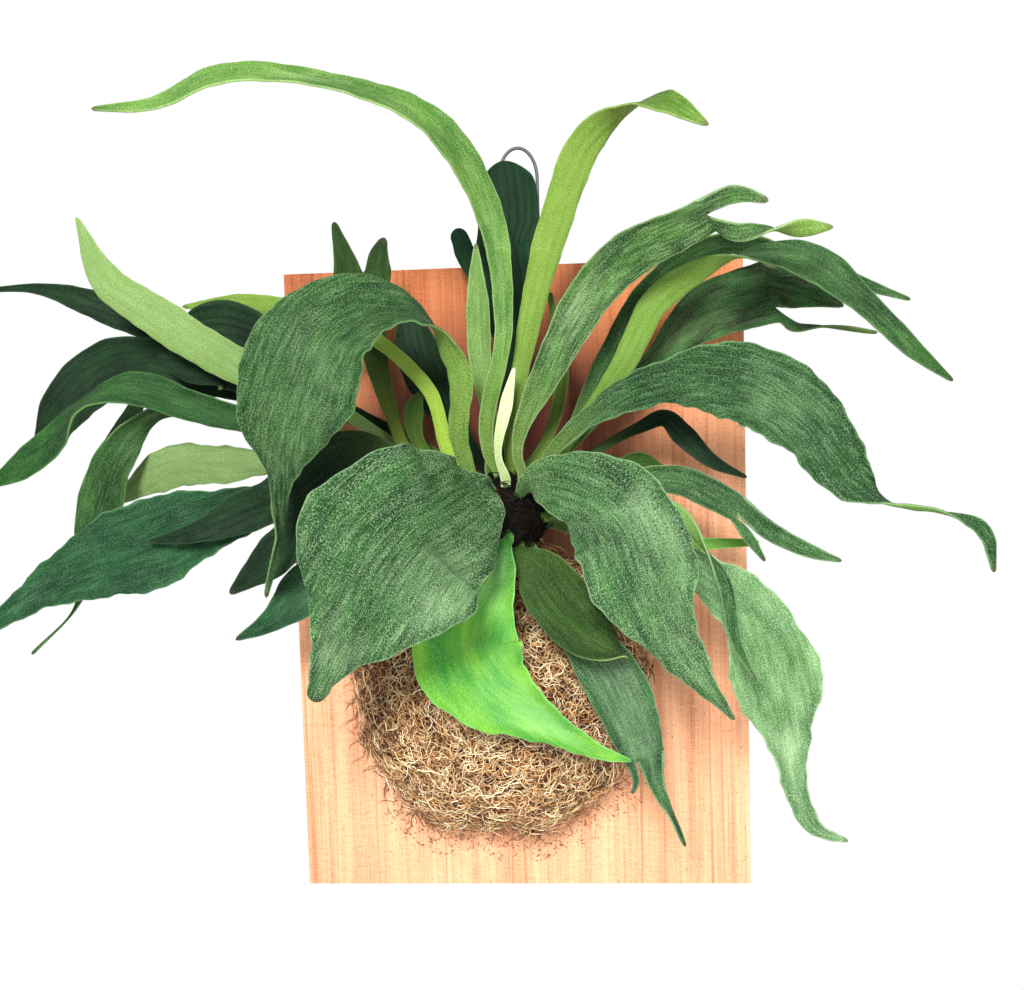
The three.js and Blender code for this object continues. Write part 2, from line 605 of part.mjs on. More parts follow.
// ---------------------------------------------------------------- assembly
const plant = new THREE.Group();
plant.position.set(-WIRE.offset, 0, -NAIL_ABOVE_CENTRE);
addPart(plant, 'board', makeBoard(), CEDAR, 0.75);
addPart(plant, 'hanger_wire', makeWire(), GALVANISED, 0.4, 1);
addPart(plant, 'moss_mound', makeMoss(), DRY_MOSS, 0.95);
addPart(plant, 'crown', makeCrown(Object.values(FRONDS)), BROWN_ROOT, 0.9);
for (const [name, frond] of Object.entries(FRONDS)) {
  addPart(plant, `frond_${name}`, thicken(frondSkin(frond)), TONES[frond.tone], 0.6);
}

const fern = new THREE.Group();
fern.add(plant);

export default fern;
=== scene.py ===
"""The looks of a mounted staghorn fern: forked felted fronds, a mound of dry moss, a cedar board and a
wire loop. Sizes in the tables are millimetres in the board's own frame: x right of the board's middle,
out from the wall, z above the board's middle. The meshes are in metres in the part's frame."""
import math

import bpy
import numpy as np
from mathutils import Matrix, Vector


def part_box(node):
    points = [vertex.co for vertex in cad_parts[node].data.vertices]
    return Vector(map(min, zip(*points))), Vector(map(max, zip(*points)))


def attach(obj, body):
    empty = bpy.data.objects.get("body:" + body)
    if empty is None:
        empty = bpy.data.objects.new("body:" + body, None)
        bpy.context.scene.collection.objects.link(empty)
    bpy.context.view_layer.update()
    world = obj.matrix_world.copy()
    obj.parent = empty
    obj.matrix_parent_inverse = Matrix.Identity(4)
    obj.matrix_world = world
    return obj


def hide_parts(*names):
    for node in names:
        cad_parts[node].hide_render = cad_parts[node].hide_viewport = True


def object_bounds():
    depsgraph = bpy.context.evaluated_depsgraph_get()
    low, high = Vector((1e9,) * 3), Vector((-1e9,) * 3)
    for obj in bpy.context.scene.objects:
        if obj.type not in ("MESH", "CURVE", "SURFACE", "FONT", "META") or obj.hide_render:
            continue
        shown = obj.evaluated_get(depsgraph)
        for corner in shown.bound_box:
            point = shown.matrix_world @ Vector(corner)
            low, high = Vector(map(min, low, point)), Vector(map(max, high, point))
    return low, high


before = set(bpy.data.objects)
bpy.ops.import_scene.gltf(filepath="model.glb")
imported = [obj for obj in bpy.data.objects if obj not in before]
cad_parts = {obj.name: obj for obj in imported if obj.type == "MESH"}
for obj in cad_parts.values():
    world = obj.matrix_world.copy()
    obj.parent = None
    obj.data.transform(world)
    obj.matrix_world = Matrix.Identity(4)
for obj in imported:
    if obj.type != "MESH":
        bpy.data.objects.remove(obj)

CAD_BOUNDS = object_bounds()
MM = 0.001
BOARD_LOW, BOARD_HIGH = (np.array(corner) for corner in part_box("board"))
BOARD_THICK = (BOARD_HIGH[1] - BOARD_LOW[1]) / MM
# The place in the part's frame of the board frame's origin: the middle of the board's back.
ORIGIN = np.array([(BOARD_LOW[0] + BOARD_HIGH[0]) / 2, BOARD_HIGH[1], (BOARD_LOW[2] + BOARD_HIGH[2]) / 2])
BOARD_TOP = (BOARD_HIGH[2] - BOARD_LOW[2]) / 2 / MM
TOWARDS_WALL = np.array([0.0, 1.0, 0.0])

# ---------------------------------------------------------------- driving dimensions, in millimetres
WIRE = {"radius": 1, "half_span": 12, "arch": 19, "rise": 75, "depth": 22, "offset": 6}
WIRE_MESH = {"sides": 16, "leg_rows": 12, "arch_rows": 33}
MOSS = {"x": -14, "z": -63, "half_width": 92, "half_height": 96, "depth": 70, "fullness": 2.5,
        "roundness": 0.45}
# The mound's uneven outline, as a share of its size: a mean and sine waves of (height, count, start).
MOSS_OUTLINE = {"mean": 0.955, "waves": ((0.022, 5, 0), (0.018, 9, 1), (0.016, 22, 0))}
# The mound's body: how deep it lies under the mound's outside, with lumps of (height, size), and how far
# clear of the board.
MOSS_BED = {"rings": 70, "sides": 160, "depth": 3.5, "least_depth": 0.6, "lumps": ((1.6, 16.0), (0.8, 6.0)),
            "clear": 0.05}
# The mound's fibres, in three layers, which have the numbers of FIBRES where they don't say otherwise.
# lift is how high a fibre may start over its root, and darkness is taken off its tint, so that the deeper
# layers are darker: painted shade inside the mound.
MOSS_FIBRES = {
    "moss_fibres_deep": {"count": 4600, "lift": 2.0, "darkness": 0.26},
    "moss_fibres_middle": {"count": 4600, "radius": (0.2, 0.38), "lift": 3.5, "darkness": 0.03},
    "moss_fibres_top": {"count": 4200, "length": (7, 24), "lift": 5.0, "darkness": -0.13},
}
FIBRES = {"root": 2.5, "length": (7, 20), "radius": (0.2, 0.36), "curl": 2.6, "bow": (-0.5, 3.0),
          "slope": (-1.5, 1.5), "clear": 0.1}
# A fibre's tint is a random number with a beta spread and soft patches. It is lower at the mound's foot and
# lowest at the foot's left.
TINT = {"beta": (1.7, 1.5), "patch": 0.22, "patch_size": 30.0, "foot": 0.08, "foot_from": 0.6, "left": 0.16,
        "left_from": 0.2}
# Loose moss: the numbers that all of it shares, and then threads round the mound's lower foot, dark strands
# hanging at its left and fallen crumbs. Each kind has where it starts, in degrees round the mound and in
# shares of its size, and a mean and a spread of its tint.
LOOSE = {"radius": (0.16, 0.3), "bow": (0, 2), "slope": (-2, 1), "start_out": (0.4, 3.0), "clear": 0.25,
         "rows": 9}
LOOSE_MOSS = {
    "loose_threads": {"count": 420, "angles": (150, 350), "shares": (0.9, 1.06), "length": (6, 22),
                      "curl": 2.2, "tint": (0.2, 0.16)},
    "hanging_strands": {"count": 190, "angles": (172, 238), "shares": (0.88, 1.0), "length": (10, 34),
                        "curl": 0.7, "tint": (0.06, 0.08), "upright": True},
    "hanging_tails": {"count": 60, "angles": (255, 320), "shares": (0.9, 1.0), "length": (8, 26),
                      "curl": 0.9, "tint": (0.1, 0.1), "upright": True},
    "fallen_crumbs": {"count": 620, "angles": (225, 335), "shares": (1.0, 1.3), "length": (0.8, 3.2),
                      "curl": 1.5, "tint": (0.16, 0.14)},
}
CROWN = {"x": -5, "out": 70, "z": 48, "half_width": 26, "half_depth": 40, "half_height": 24}
CROWN_BARK = {"rings": 60, "sides": 96, "depth": 1.5, "knobs": ((0.9, 9.0), (0.5, 4.0)), "highest": 1.2}
CROWN_FIBRES = {"count": 2200, "length": (5, 14), "radius": (0.15, 0.35), "curl": 1.8, "start": (-0.5, 1),
                "bow": (-0.5, 1.5), "slope": (-1, 1.5), "tint": (0.25, 0.2)}
# Any strand: the spread of a hanging one's heading and its wiggles, in radians, and its width's taper.
STRAND = {"hang_spread": 0.35, "wiggle": 0.5, "wiggles": (1, 3), "taper": 0.85, "end": 0.12}
RING_END = 0.02          # radians from a round end's middle point to its nearest ring
STALK = {"width": 5, "neck": 5.5, "thick": 3, "sunk": 5}
BLADE = {"thick": 1.4, "cup": 0.08, "cup_base": 0.35, "wave_full_width": 25, "rim_share": 0.35,
         "rim_width": 0.8, "least_width": 0.8, "edge_lag": 1.7, "fork_lag": 1.3}
# A free end is rounded over a share of its last width, and keeps a least share of it.
TIP = {"length": 0.55, "least_length": 2.5, "least_width": 0.05}
# Small uneven waves of a blade's edges, which are full on blades with high waves.
FLUTTER = {"lengths": (45.0, 23.0, 11.0), "lift": 0.9, "side": 0.8, "plain": 0.35, "full_wave": 2.5,
           "full_width": 20.0}
ROW_SPACING = 2.6        # along a blade
TIP_ROWS = 6             # added in a free end's last stretch
COLUMNS_A_PATCH = 4      # columns of the fine mesh for each patch across a blade
SEED = 20                # the first frond's, and the next ones count on from it
MOSS_SEED = 520

# ---------------------------------------------------------------- the fronds' routes
class Frond:
    """A frond's route, the same as the solids have. base is [angle, out]: where the stalk leaves the
    crown, as an angle round it (0 to the right, 90 up) and a distance from the wall. path has points
    [x, out, z, width, turn], where turn 0 shows the upper face to the front and 180 the underside.
    waves is the edge's ruffle: its height, and its waves to the blade's length. across is the number
    of patches across the blade, and forks are pairs of a number of patches, counted from the left on,
    and their path. tone names the frond's greens."""

    def __init__(self, tone, base, path, across=4, waves=(0, 0), forks=()):
        self.tone, self.base, self.path = tone, base, path
        self.across, self.waves, self.forks = across, waves, forks


FRONDS = {
  "tall_left_arch": Frond("mid", [92, 84],
    [[-10, 85, 80, 7, 0], [0, 95, 155, 10, -5], [-5, 110, 210, 15, -15], [-30, 140, 250, 18, -30],
      [-75, 160, 265, 15, -45], [-130, 175, 265, 12, -25], [-155, 175, 255, 8, -20], [-190, 170, 255, 2, 0]]),
  "young_pale_strap": Frond("pale", [106, 70],
    [[-10, 75, 85, 6, 0], [-15, 80, 140, 13, 0], [-15, 85, 170, 12, 0], [-15, 85, 200, 2, 0]]),
  "back_upright": Frond("dark", [90, 42],
    [[-5, 40, 90, 8, 0], [0, 40, 130, 12, 0], [-2, 40, 165, 24, 0], [-7, 37, 205, 50, 0]],
    forks=[
      (1, [[-31, 37, 218, 10, 0]]),
      (3, [[1, 36, 224, 37, 0], [0, 36, 242, 34, 0], [-2, 36, 257, 22, 0]]),
    ]),
  "tall_right_strap": Frond("light", [78, 72],
    [[0, 75, 80, 6, 180], [10, 80, 140, 11, 180], [30, 90, 210, 18, 175], [50, 105, 250, 18, 150],
      [70, 120, 260, 16, 80], [85, 140, 255, 15, 20], [105, 150, 240, 2, 0]]),
  "upper_right_broad": Frond("deep", [60, 84],
    [[5, 85, 80, 6, 0], [25, 95, 130, 18, 0], [60, 110, 180, 25, -10], [105, 135, 200, 20, -35]],
    forks=[
      (2, [[120, 135, 210, 9, -20], [135, 140, 205, 3, 0]]),
      (2, [[120, 140, 190, 9, -10], [135, 145, 190, 10, 70], [150, 145, 190, 10, 140],
        [165, 145, 190, 2, 170]]),
    ]),
  "thin_upright": Frond("light", [66, 57],
    [[15, 55, 80, 6, 0], [30, 55, 120, 8, 0], [30, 60, 145, 8, 0], [25, 60, 175, 3, 0]]),
  "right_inner_dark": Frond("deep", [38, 57],
    [[30, 60, 85, 6, 0], [60, 65, 140, 13, 0], [85, 70, 175, 16, -5], [120, 85, 195, 15, -50],
      [165, 90, 180, 12, -20], [220, 90, 160, 2, 0]]),
  "right_folded": Frond("deep", [40, 72],
    [[35, 75, 90, 7, 180], [65, 85, 130, 13, 180], [85, 90, 165, 16, 175], [110, 100, 180, 14, 135],
      [135, 105, 185, 14, 50], [160, 110, 180, 20, 10], [190, 115, 155, 13, 0], [215, 115, 130, 9, 0],
      [235, 110, 115, 2, 0]]),
  "right_back_broad": Frond("dark", [42, 42],
    [[30, 45, 80, 6, 0], [85, 50, 135, 12, 0], [115, 60, 160, 32, 0], [150, 65, 170, 36, 0]],
    forks=[
      (3, [[165, 65, 170, 20, 0], [190, 70, 160, 2, 0]]),
      (1, [[165, 60, 150, 7, 30], [180, 60, 150, 6, 80], [210, 65, 145, 2, 160]]),
    ]),
  "right_long_wavy": Frond("grey", [32, 84],
    [[20, 90, 75, 6, 0], [60, 95, 110, 16, 0], [95, 110, 120, 28, 0], [130, 120, 115, 44, 5],
      [155, 135, 95, 38, 5], [175, 145, 65, 20, 10], [190, 145, 55, 9, 70], [215, 150, 50, 6, 100],
      [235, 150, 40, 8, 20], [240, 150, 20, 2, 0]], waves=[3, 4]),
  "right_small_dark": Frond("dark", [8, 57],
    [[35, 60, 70, 5, 0], [75, 60, 95, 7, 0], [90, 65, 100, 10, 0], [100, 65, 90, 13, 0],
      [115, 70, 75, 8, 0], [135, 70, 65, 2, 0]]),
  "right_stub": Frond("olive", [-16, 57],
    [[35, 55, 55, 5, 0], [60, 55, 70, 9, 0], [75, 60, 75, 12, 0], [90, 60, 70, 3, 0]]),
  "lime_finger": Frond("lime", [-8, 42],
    [[25, 45, 40, 5, 0], [65, 50, 25, 6, 0], [95, 50, 25, 8, 0], [145, 50, 25, 4, 0]], across=2),
  "front_right_broad": Frond("grey", [50, 100],
    [[11, 107, 66, 12, 0], [22, 116, 68, 26, 0], [40, 127, 64, 42, 0], [60, 138, 47, 56, 0],
      [70, 145, 20, 56, 0], [80, 145, -5, 34, 0], [100, 145, -35, 12, 0], [115, 140, -55, 2, 0]],
    across=6, waves=[2.5, 3]),
  "right_pronged": Frond("grey", [12, 72],
    [[35, 75, 60, 6, 0], [60, 80, 65, 9, 0], [95, 85, 65, 17, 0], [125, 95, 50, 15, 0]],
    forks=[
      (3, [[145, 100, 35, 10, 0], [165, 100, 25, 7, 0], [180, 100, 20, 2, 0]]),
      (1, [[130, 95, 35, 6, 0], [140, 95, 20, 2, 0]]),
    ]),
  "right_narrow_twist": Frond("grey", [-5, 84],
    [[30, 90, 55, 6, 180], [60, 95, 55, 7, 180], [90, 105, 50, 9, 180], [105, 110, 30, 7, 100],
      [115, 115, 10, 8, 10], [120, 120, -20, 6, 0], [130, 120, -40, 2, 0]]),
  "lower_right_broad": Frond("grey", [-14, 72],
    [[30, 75, 40, 7, 0], [60, 80, 30, 10, 0], [105, 90, 15, 22, 0], [135, 100, -15, 38, 0],
      [145, 100, -50, 48, 0], [150, 100, -75, 26, 0], [155, 95, -105, 14, 0], [165, 95, -130, 9, 0],
      [185, 90, -140, 2, 0]], waves=[2.5, 4]),
  "front_round": Frond("grey", [105, 102],
    [[-11, 112, 68, 8, 0], [-16, 122, 63, 44, 0], [-28, 138, 55, 74, 0], [-44, 155, 47, 90, 0],
      [-55, 168, 34, 96, 0], [-70, 170, 10, 64, 0], [-80, 165, -5, 36, 0], [-100, 150, -40, 6, 0]],
    across=6, waves=[3, 3]),
  "front_lime": Frond("lime", [-65, 105],
    [[-2, 112, 34, 8, 0], [-7, 116, 20, 24, 0], [-17, 117, 2, 44, 0], [-23, 118, -20, 60, 0],
      [-12, 117, -43, 50, 0], [8, 116, -57, 30, 0], [30, 113, -72, 15, 0], [48, 108, -82, 8, 0],
      [64, 105, -88, 2, 0]], waves=[1.5, 2]),
  "lower_olive": Frond("olive", [-60, 95],
    [[5, 100, 28, 10, 0], [14, 105, 20, 26, 0], [28, 110, 2, 34, 0], [42, 114, -14, 30, 0],
      [53, 116, -22, 18, 40], [63, 115, -28, 4, 120]]),
  "lower_middle": Frond("grey", [-50, 84],
    [[15, 90, 10, 8, 0], [30, 95, -10, 18, 0], [56, 100, -45, 34, 0], [72, 95, -88, 24, 0]],
    forks=[
      (3, [[80, 90, -110, 8, 0], [87, 90, -125, 6, 60], [95, 85, -145, 2, 0]]),
      (1, [[67, 95, -103, 4, 0], [65, 90, -112, 2, 0]]),
    ]),
  "left_pronged": Frond("dark", [175, 84],
    [[-40, 90, 65, 8, 0], [-60, 95, 75, 20, 0], [-80, 100, 80, 35, 0], [-125, 110, 50, 46, 0]],
    forks=[
      (2, [[-130, 110, 30, 22, 0], [-155, 110, 10, 3, 0]]),
      (2, [[-145, 110, 55, 23, 0], [-170, 115, 45, 12, 0], [-200, 110, 40, 2, 0]]),
    ]),
  "lower_left_blade": Frond("blue", [222, 72],
    [[-40, 75, 30, 7, 0], [-90, 85, 20, 24, 0], [-115, 85, 10, 30, 0], [-140, 90, -10, 13, 0],
      [-160, 90, -20, 2, 0]]),
  "left_arch_broad": Frond("deep", [125, 95],
    [[-25, 100, 85, 9, -170], [-25, 108, 130, 14, -160], [-36, 118, 152, 18, -105],
      [-48, 128, 161, 26, -50], [-62, 137, 162, 36, -25], [-85, 150, 150, 52, -10], [-100, 155, 120, 60, 0],
      [-110, 150, 95, 42, 0], [-115, 140, 75, 15, 0], [-120, 130, 45, 8, 75], [-130, 125, 10, 2, 0]],
    across=6, waves=[2, 3]),
  "two_pronged_olive": Frond("olive", [125, 57],
    [[-35, 60, 75, 6, 0], [-60, 65, 85, 7, 0], [-70, 65, 110, 9, 0], [-80, 70, 165, 22, 0],
      [-82, 70, 188, 34, 0]],
    forks=[
      (2, [[-94, 70, 203, 10, 0], [-98, 70, 218, 3, 0]]),
      (2, [[-72, 70, 200, 10, 0], [-69, 70, 208, 4, 0]]),
    ]),
  "left_light_strap": Frond("light", [128, 72],
    [[-30, 75, 75, 7, 180], [-45, 80, 120, 8, 180], [-75, 80, 150, 8, 180], [-125, 65, 170, 11, 180],
      [-165, 55, 175, 12, 180], [-195, 55, 175, 2, 180]]),
  "left_pale": Frond("pale", [152, 57],
    [[-45, 55, 70, 6, 180], [-85, 60, 100, 7, 180], [-115, 75, 120, 12, 180],
      [-150, 85, 135, 20, 180], [-195, 95, 165, 22, 180], [-220, 100, 185, 18, 180],
      [-235, 100, 220, 2, 180]]),
  "left_back_round": Frond("dark", [135, 42],
    [[-50, 45, 85, 6, 0], [-115, 55, 120, 16, 0], [-145, 65, 140, 44, 0], [-165, 70, 150, 52, 0],
      [-190, 70, 145, 32, 0], [-205, 70, 145, 8, 0]]),
  "left_back_broad": Frond("dark", [200, 42],
    [[-50, 45, 55, 6, 0], [-130, 45, 110, 9, 0], [-160, 50, 125, 16, 0], [-215, 55, 140, 36, 0]],
    forks=[
      (1, [[-230, 50, 115, 10, 0], [-250, 50, 95, 2, 0]]),
      (3, [[-240, 55, 140, 35, 0], [-270, 60, 115, 28, 0], [-285, 55, 90, 16, 0]]),
    ]),
  "left_green_arch": Frond("deep", [165, 72],
    [[-45, 75, 70, 6, 0], [-120, 80, 95, 9, 0], [-180, 90, 115, 18, 0], [-210, 100, 125, 20, -25],
      [-240, 100, 115, 18, -60], [-255, 95, 100, 20, -25], [-275, 95, 85, 16, 0], [-305, 90, 70, 2, 0]]),
  "left_long_broad": Frond("blue", [190, 72],
    [[-40, 75, 55, 7, 0], [-105, 90, 60, 12, 0], [-150, 100, 55, 27, 0], [-210, 105, 35, 50, 0],
      [-240, 105, 25, 36, 0], [-270, 105, 10, 19, 0], [-315, 100, -20, 2, 0]], waves=[2, 3]),
  "left_pale_wide": Frond("pale", [206, 55],
    [[-45, 55, 45, 6, 180], [-125, 60, 80, 10, 180], [-170, 65, 80, 21, 180], [-200, 65, 80, 26, 180],
      [-240, 60, 60, 6, 180]], waves=[1.5, 2]),
  "left_twisted": Frond("deep", [178, 57],
    [[-50, 60, 60, 6, 0], [-125, 60, 95, 7, 0], [-180, 70, 115, 9, 0], [-210, 75, 110, 14, 60],
      [-230, 80, 85, 22, 10], [-240, 80, 60, 27, 0], [-250, 80, 25, 14, 0], [-260, 75, 0, 3, 0],
      [-290, 75, -30, 2, 0]]),
  "far_left_point": Frond("dark", [168, 42],
    [[-50, 40, 75, 6, 0], [-135, 45, 125, 9, 0], [-200, 45, 160, 20, 0], [-240, 50, 175, 20, 0],
      [-290, 50, 190, 6, 0], [-320, 50, 190, 2, 0]]),
  "young_white_tip": Frond("white", [80, 95],
    [[-5, 95, 80, 4, 0], [0, 95, 110, 7, 0], [5, 95, 130, 2, 0]], across=2),
  "young_olive": Frond("olive", [140, 65],
    [[-35, 65, 70, 5, 0], [-55, 70, 95, 9, 0], [-55, 70, 110, 11, 0], [-50, 70, 120, 2, 0]]),
  "young_dark": Frond("dark", [112, 44],
    [[-20, 46, 78, 7, 0], [-38, 48, 105, 18, 0], [-50, 48, 130, 27, 0], [-57, 47, 152, 24, 0],
      [-58, 46, 175, 3, 0]]),
}

# ---------------------------------------------------------------- colour
def linear(red, green, blue):
    """A colour given as 0 to 255 screen values, as the linear values that shaders take."""
    screen = np.array([red, green, blue]) / 255.0
    value = np.where(screen <= 0.04045, screen / 12.92, ((screen + 0.055) / 1.055) ** 2.4)
    return (*value.tolist(), 1.0)


def lerp(a, b, share):
    return a + (b - a) * share


def ease(value):
    """A smooth step from 0 to 1: three times the square less twice the cube."""
    value = np.clip(value, 0.0, 1.0)
    return value * value * (3.0 - 2.0 * value)


def unit(vectors):
    return vectors / np.maximum(np.linalg.norm(vectors, axis=-1, keepdims=True), 1e-12)


def ripple(points, size, rng, waves=10):
    """Soft random relief of about -1 to 1: a mean of sine waves with random headings, about `size`
    long."""
    headings = unit(rng.normal(size=(waves, 3))) * (2 * math.pi / size) * rng.uniform(0.6, 1.5, (waves, 1))
    phases = rng.uniform(0, 2 * math.pi, waves)
    return np.sin(points @ headings.T + phases).mean(axis=-1) * 1.8


def relief(points, rng, layers):
    """A sum of ripples, one for each layer's height and size."""
    return sum(height * ripple(points, size, rng) for height, size in layers)


def round_angles(count):
    """Even angles once round a circle, without the last."""
    return np.linspace(0, 2 * math.pi, count, endpoint=False)


# ---------------------------------------------------------------- meshes
def to_part(points):
    """Board-frame millimetres as part-frame metres."""
    return ORIGIN + points * MM


def add_object(name, data):
    """A new object in the scene."""
    thing = bpy.data.objects.new(name, data)
    bpy.context.scene.collection.objects.link(thing)
    return thing


def new_piece(name, points, *faces, values=None, smooth=True):
    """A mesh object from part-frame points in metres, one or more arrays of faces, and values: named
    lists of a number per point. The faces in one array have the same number of corners."""
    mesh = bpy.data.meshes.new(name)
    corners = np.concatenate([np.ravel(group) for group in faces])
    sizes = np.concatenate([np.full(len(group), np.shape(group)[1]) for group in faces])
    mesh.vertices.add(len(points))
    mesh.vertices.foreach_set("co", np.asarray(points, dtype=np.float32).ravel())
    mesh.loops.add(len(corners))
    mesh.loops.foreach_set("vertex_index", corners.astype(np.int32))
    mesh.polygons.add(len(sizes))
    mesh.polygons.foreach_set("loop_start", (np.cumsum(sizes) - sizes).astype(np.int32))
    mesh.polygons.foreach_set("use_smooth", np.full(len(sizes), smooth))
    for label, numbers in (values or {}).items():
        layer = mesh.attributes.new(label, "FLOAT", "POINT")
        layer.data.foreach_set("value", np.asarray(numbers, dtype=np.float32).ravel())
    mesh.update(calc_edges=True)
    mesh.validate()
    return add_object(name, mesh)


def dress(piece, material, slot, *nodes):
    """Gives a piece its material, and lets it ride on the part in place of CAD nodes. The slot is not used.
    """
    piece.data.materials.append(material)
    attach(piece, "root")
    if nodes:
        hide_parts(*nodes)


def grid_faces(rows, columns, closed=False):
    """The four-sided faces of a grid whose points are numbered row by row."""
    row = np.arange(rows - 1)[:, None] * columns
    column = np.arange(columns if closed else columns - 1)[None, :]
    after = (column + 1) % columns
    corners = [row + column, row + after, row + columns + after, row + columns + column]
    return np.stack(corners, axis=-1).reshape(-1, 4)


def tube_faces(rows, sides):
    """A closed tube's faces: a grid, and triangles round a middle point at each end. The first row's
    middle point and the last row's come after the grid's points."""
    ring, total = np.arange(sides), rows * sides
    after, last = (ring + 1) % sides, total - sides
    first_end = np.stack([after, ring, np.full(sides, total)], axis=1)
    last_end = np.stack([last + ring, last + after, np.full(sides, total + 1)], axis=1)
    return grid_faces(rows, sides, closed=True), np.vstack([first_end, last_end])


def turned_over(*faces):
    """The same faces, each with its front to the other side."""
    return [group[:, ::-1] for group in faces]


# ---------------------------------------------------------------- fronds
def smooth_path(knots, places):
    """Values and slopes of the smooth curve through the knots, at places counted in knots. Each stretch
    is a cubic with its two knots' slopes at its ends, and a knot's slope is the mean of the slopes of
    the stretches beside it, where the shorter stretch counts more."""
    length = np.linalg.norm(np.diff(knots[:, :3], axis=0), axis=1)[:, None]
    chord = np.diff(knots, axis=0) / length
    inner = (chord[:-1] * length[1:] + chord[1:] * length[:-1]) / (length[:-1] + length[1:])
    slope = np.vstack([chord[:1], inner, chord[-1:]])
    i = np.minimum(places.astype(int), len(knots) - 2)
    t = (places - i)[:, None]
    a, b, size = knots[i], knots[i + 1], length[i]
    start, end = slope[i] * size, slope[i + 1] * size
    value = ((2 * t**3 - 3 * t**2 + 1) * a + (t**3 - 2 * t**2 + t) * start
             + (3 * t**2 - 2 * t**3) * b + (t**3 - t**2) * end)
    rate = (6 * t**2 - 6 * t) * (a - b) + (3 * t**2 - 4 * t + 1) * start + (3 * t**2 - 2 * t) * end
    return value, rate


def path_places(knots, ends):
    """Places along a path, about a row's spacing apart, and closer together towards a free tip, as a
    sine."""
    lengths = np.linalg.norm(np.diff(knots[:, :3], axis=0), axis=1)
    stretches = []
    for i, length in enumerate(lengths):
        count = max(3, math.ceil(length / ROW_SPACING))
        share = np.arange(count) / count
        if ends and i == len(lengths) - 1:
            share = np.sin(np.pi / 2 * np.arange(count + TIP_ROWS) / (count + TIP_ROWS))
        stretches.append(i + share)
    return np.append(np.concatenate(stretches), len(lengths))


def tip_rounding(steps, width):
    """The share of its width that a free end keeps: a quarter ellipse over about half the last width."""
    left = np.append(np.cumsum(steps[::-1])[::-1], 0.0)
    near = np.clip(1.0 - left / max(TIP["least_length"], TIP["length"] * width[-1]), 0.0, 1.0)
    return np.maximum(np.sqrt(1.0 - near**2), TIP["least_width"])


def longest_fork(forks):
    """The length of the longest fork's path, in straight steps from point to point."""
    paths = [np.array(path, dtype=float)[:, :3] for _, path in forks]
    return max((np.linalg.norm(np.diff(path, axis=0), axis=1).sum() for path in paths), default=0.0)


def blade_sheet(knots, columns, waves, phase, forked, rng):
    """A blade's middle surface as a grid of points. A point lies on the path, moved along the blade's
    side by its share v of half the width, and along the blade's face by a cup of v squared and by a
    wave that grows as v squared and runs along the length. Small waves that grow as v cubed move the
    edges both ways. Columns crowd towards the edges as a sine, and are even where the blade forks."""
    places = path_places(knots, not forked)
    value, rate = smooth_path(knots, places)
    along = unit(rate[:, :3])
    right = unit(np.cross(TOWARDS_WALL, along))
    front = np.cross(right, along)
    turn = np.radians(value[:, 4:5])
    side = right * np.cos(turn) + front * np.sin(turn)
    face = np.cross(side, along)
    steps = np.linalg.norm(np.diff(value[:, :3], axis=0), axis=1)
    reach = np.append(0.0, np.cumsum(steps))
    width = np.maximum(value[:, 3], BLADE["least_width"])
    if not forked:
        width = width * tip_rounding(steps, width)
    share = np.linspace(-1.0, 1.0, columns + 1)
    crowded = np.sin(np.pi / 2 * share)
    even = ease(places - (len(knots) - 2)) if forked else np.zeros_like(places)
    v = lerp(crowded[None, :], share[None, :], even[:, None])
    height, count = waves
    swell = height * np.minimum(1.0, width / BLADE["wave_full_width"])
    angle = 2 * math.pi * count * places / (len(knots) - 1) + phase
    wave = swell[:, None] * v**2 * np.sin(angle[:, None] + BLADE["edge_lag"] * np.sign(v))
    ruffled = lerp(FLUTTER["plain"], 1.0, min(1.0, height / FLUTTER["full_wave"]))
    fine = ruffled * np.minimum(1.0, width / FLUTTER["full_width"])[:, None] * np.abs(v) ** 3
    flutter = fine * edge_flutter(reach, v, rng, FLUTTER["lift"])
    wobble = fine * edge_flutter(reach, v, rng, FLUTTER["side"])
    cup = BLADE["cup"] * width[:, None] * (v**2 - BLADE["cup_base"])
    out = (0.5 * width[:, None] * v + np.sign(v) * wobble)[..., None] * side[:, None, :]
    lift = (cup + wave + flutter)[..., None] * face[:, None, :]
    return value[:, None, :3] + out + lift, places, reach, width, v


def edge_flutter(reach, v, rng, height):
    """Small uneven waves along each edge: sines of three lengths with random starts, where the height
    goes with the length's square root."""
    total = np.zeros((len(reach), v.shape[1]))
    for length in FLUTTER["lengths"]:
        for sign in (-1.0, 1.0):
            wave = np.sin(2 * math.pi * reach / length + rng.uniform(0, 2 * math.pi))[:, None]
            total += np.where(np.sign(v) == sign, wave, 0.0) * (length / FLUTTER["lengths"][0]) ** 0.5
    return total * height


def stalk_root(angle, out):
    """The point that a stalk's root is sunk to, and where the stalk leaves the crown's ellipsoid."""
    shrink = math.sqrt(1 - ((out - CROWN["out"]) / CROWN["half_depth"]) ** 2)
    dx = CROWN["half_width"] * math.cos(math.radians(angle)) * shrink
    dz = CROWN["half_height"] * math.sin(math.radians(angle)) * shrink
    inner = 1 - STALK["sunk"] / math.hypot(dx, dz)
    return [[CROWN["x"] + dx * share, -out, CROWN["z"] + dz * share] for share in (inner, 1)]


def to_knots(path):
    """A table's points with the distance out from the wall turned into y."""
    return [[x, -out, z, width, turn] for x, out, z, width, turn in path]


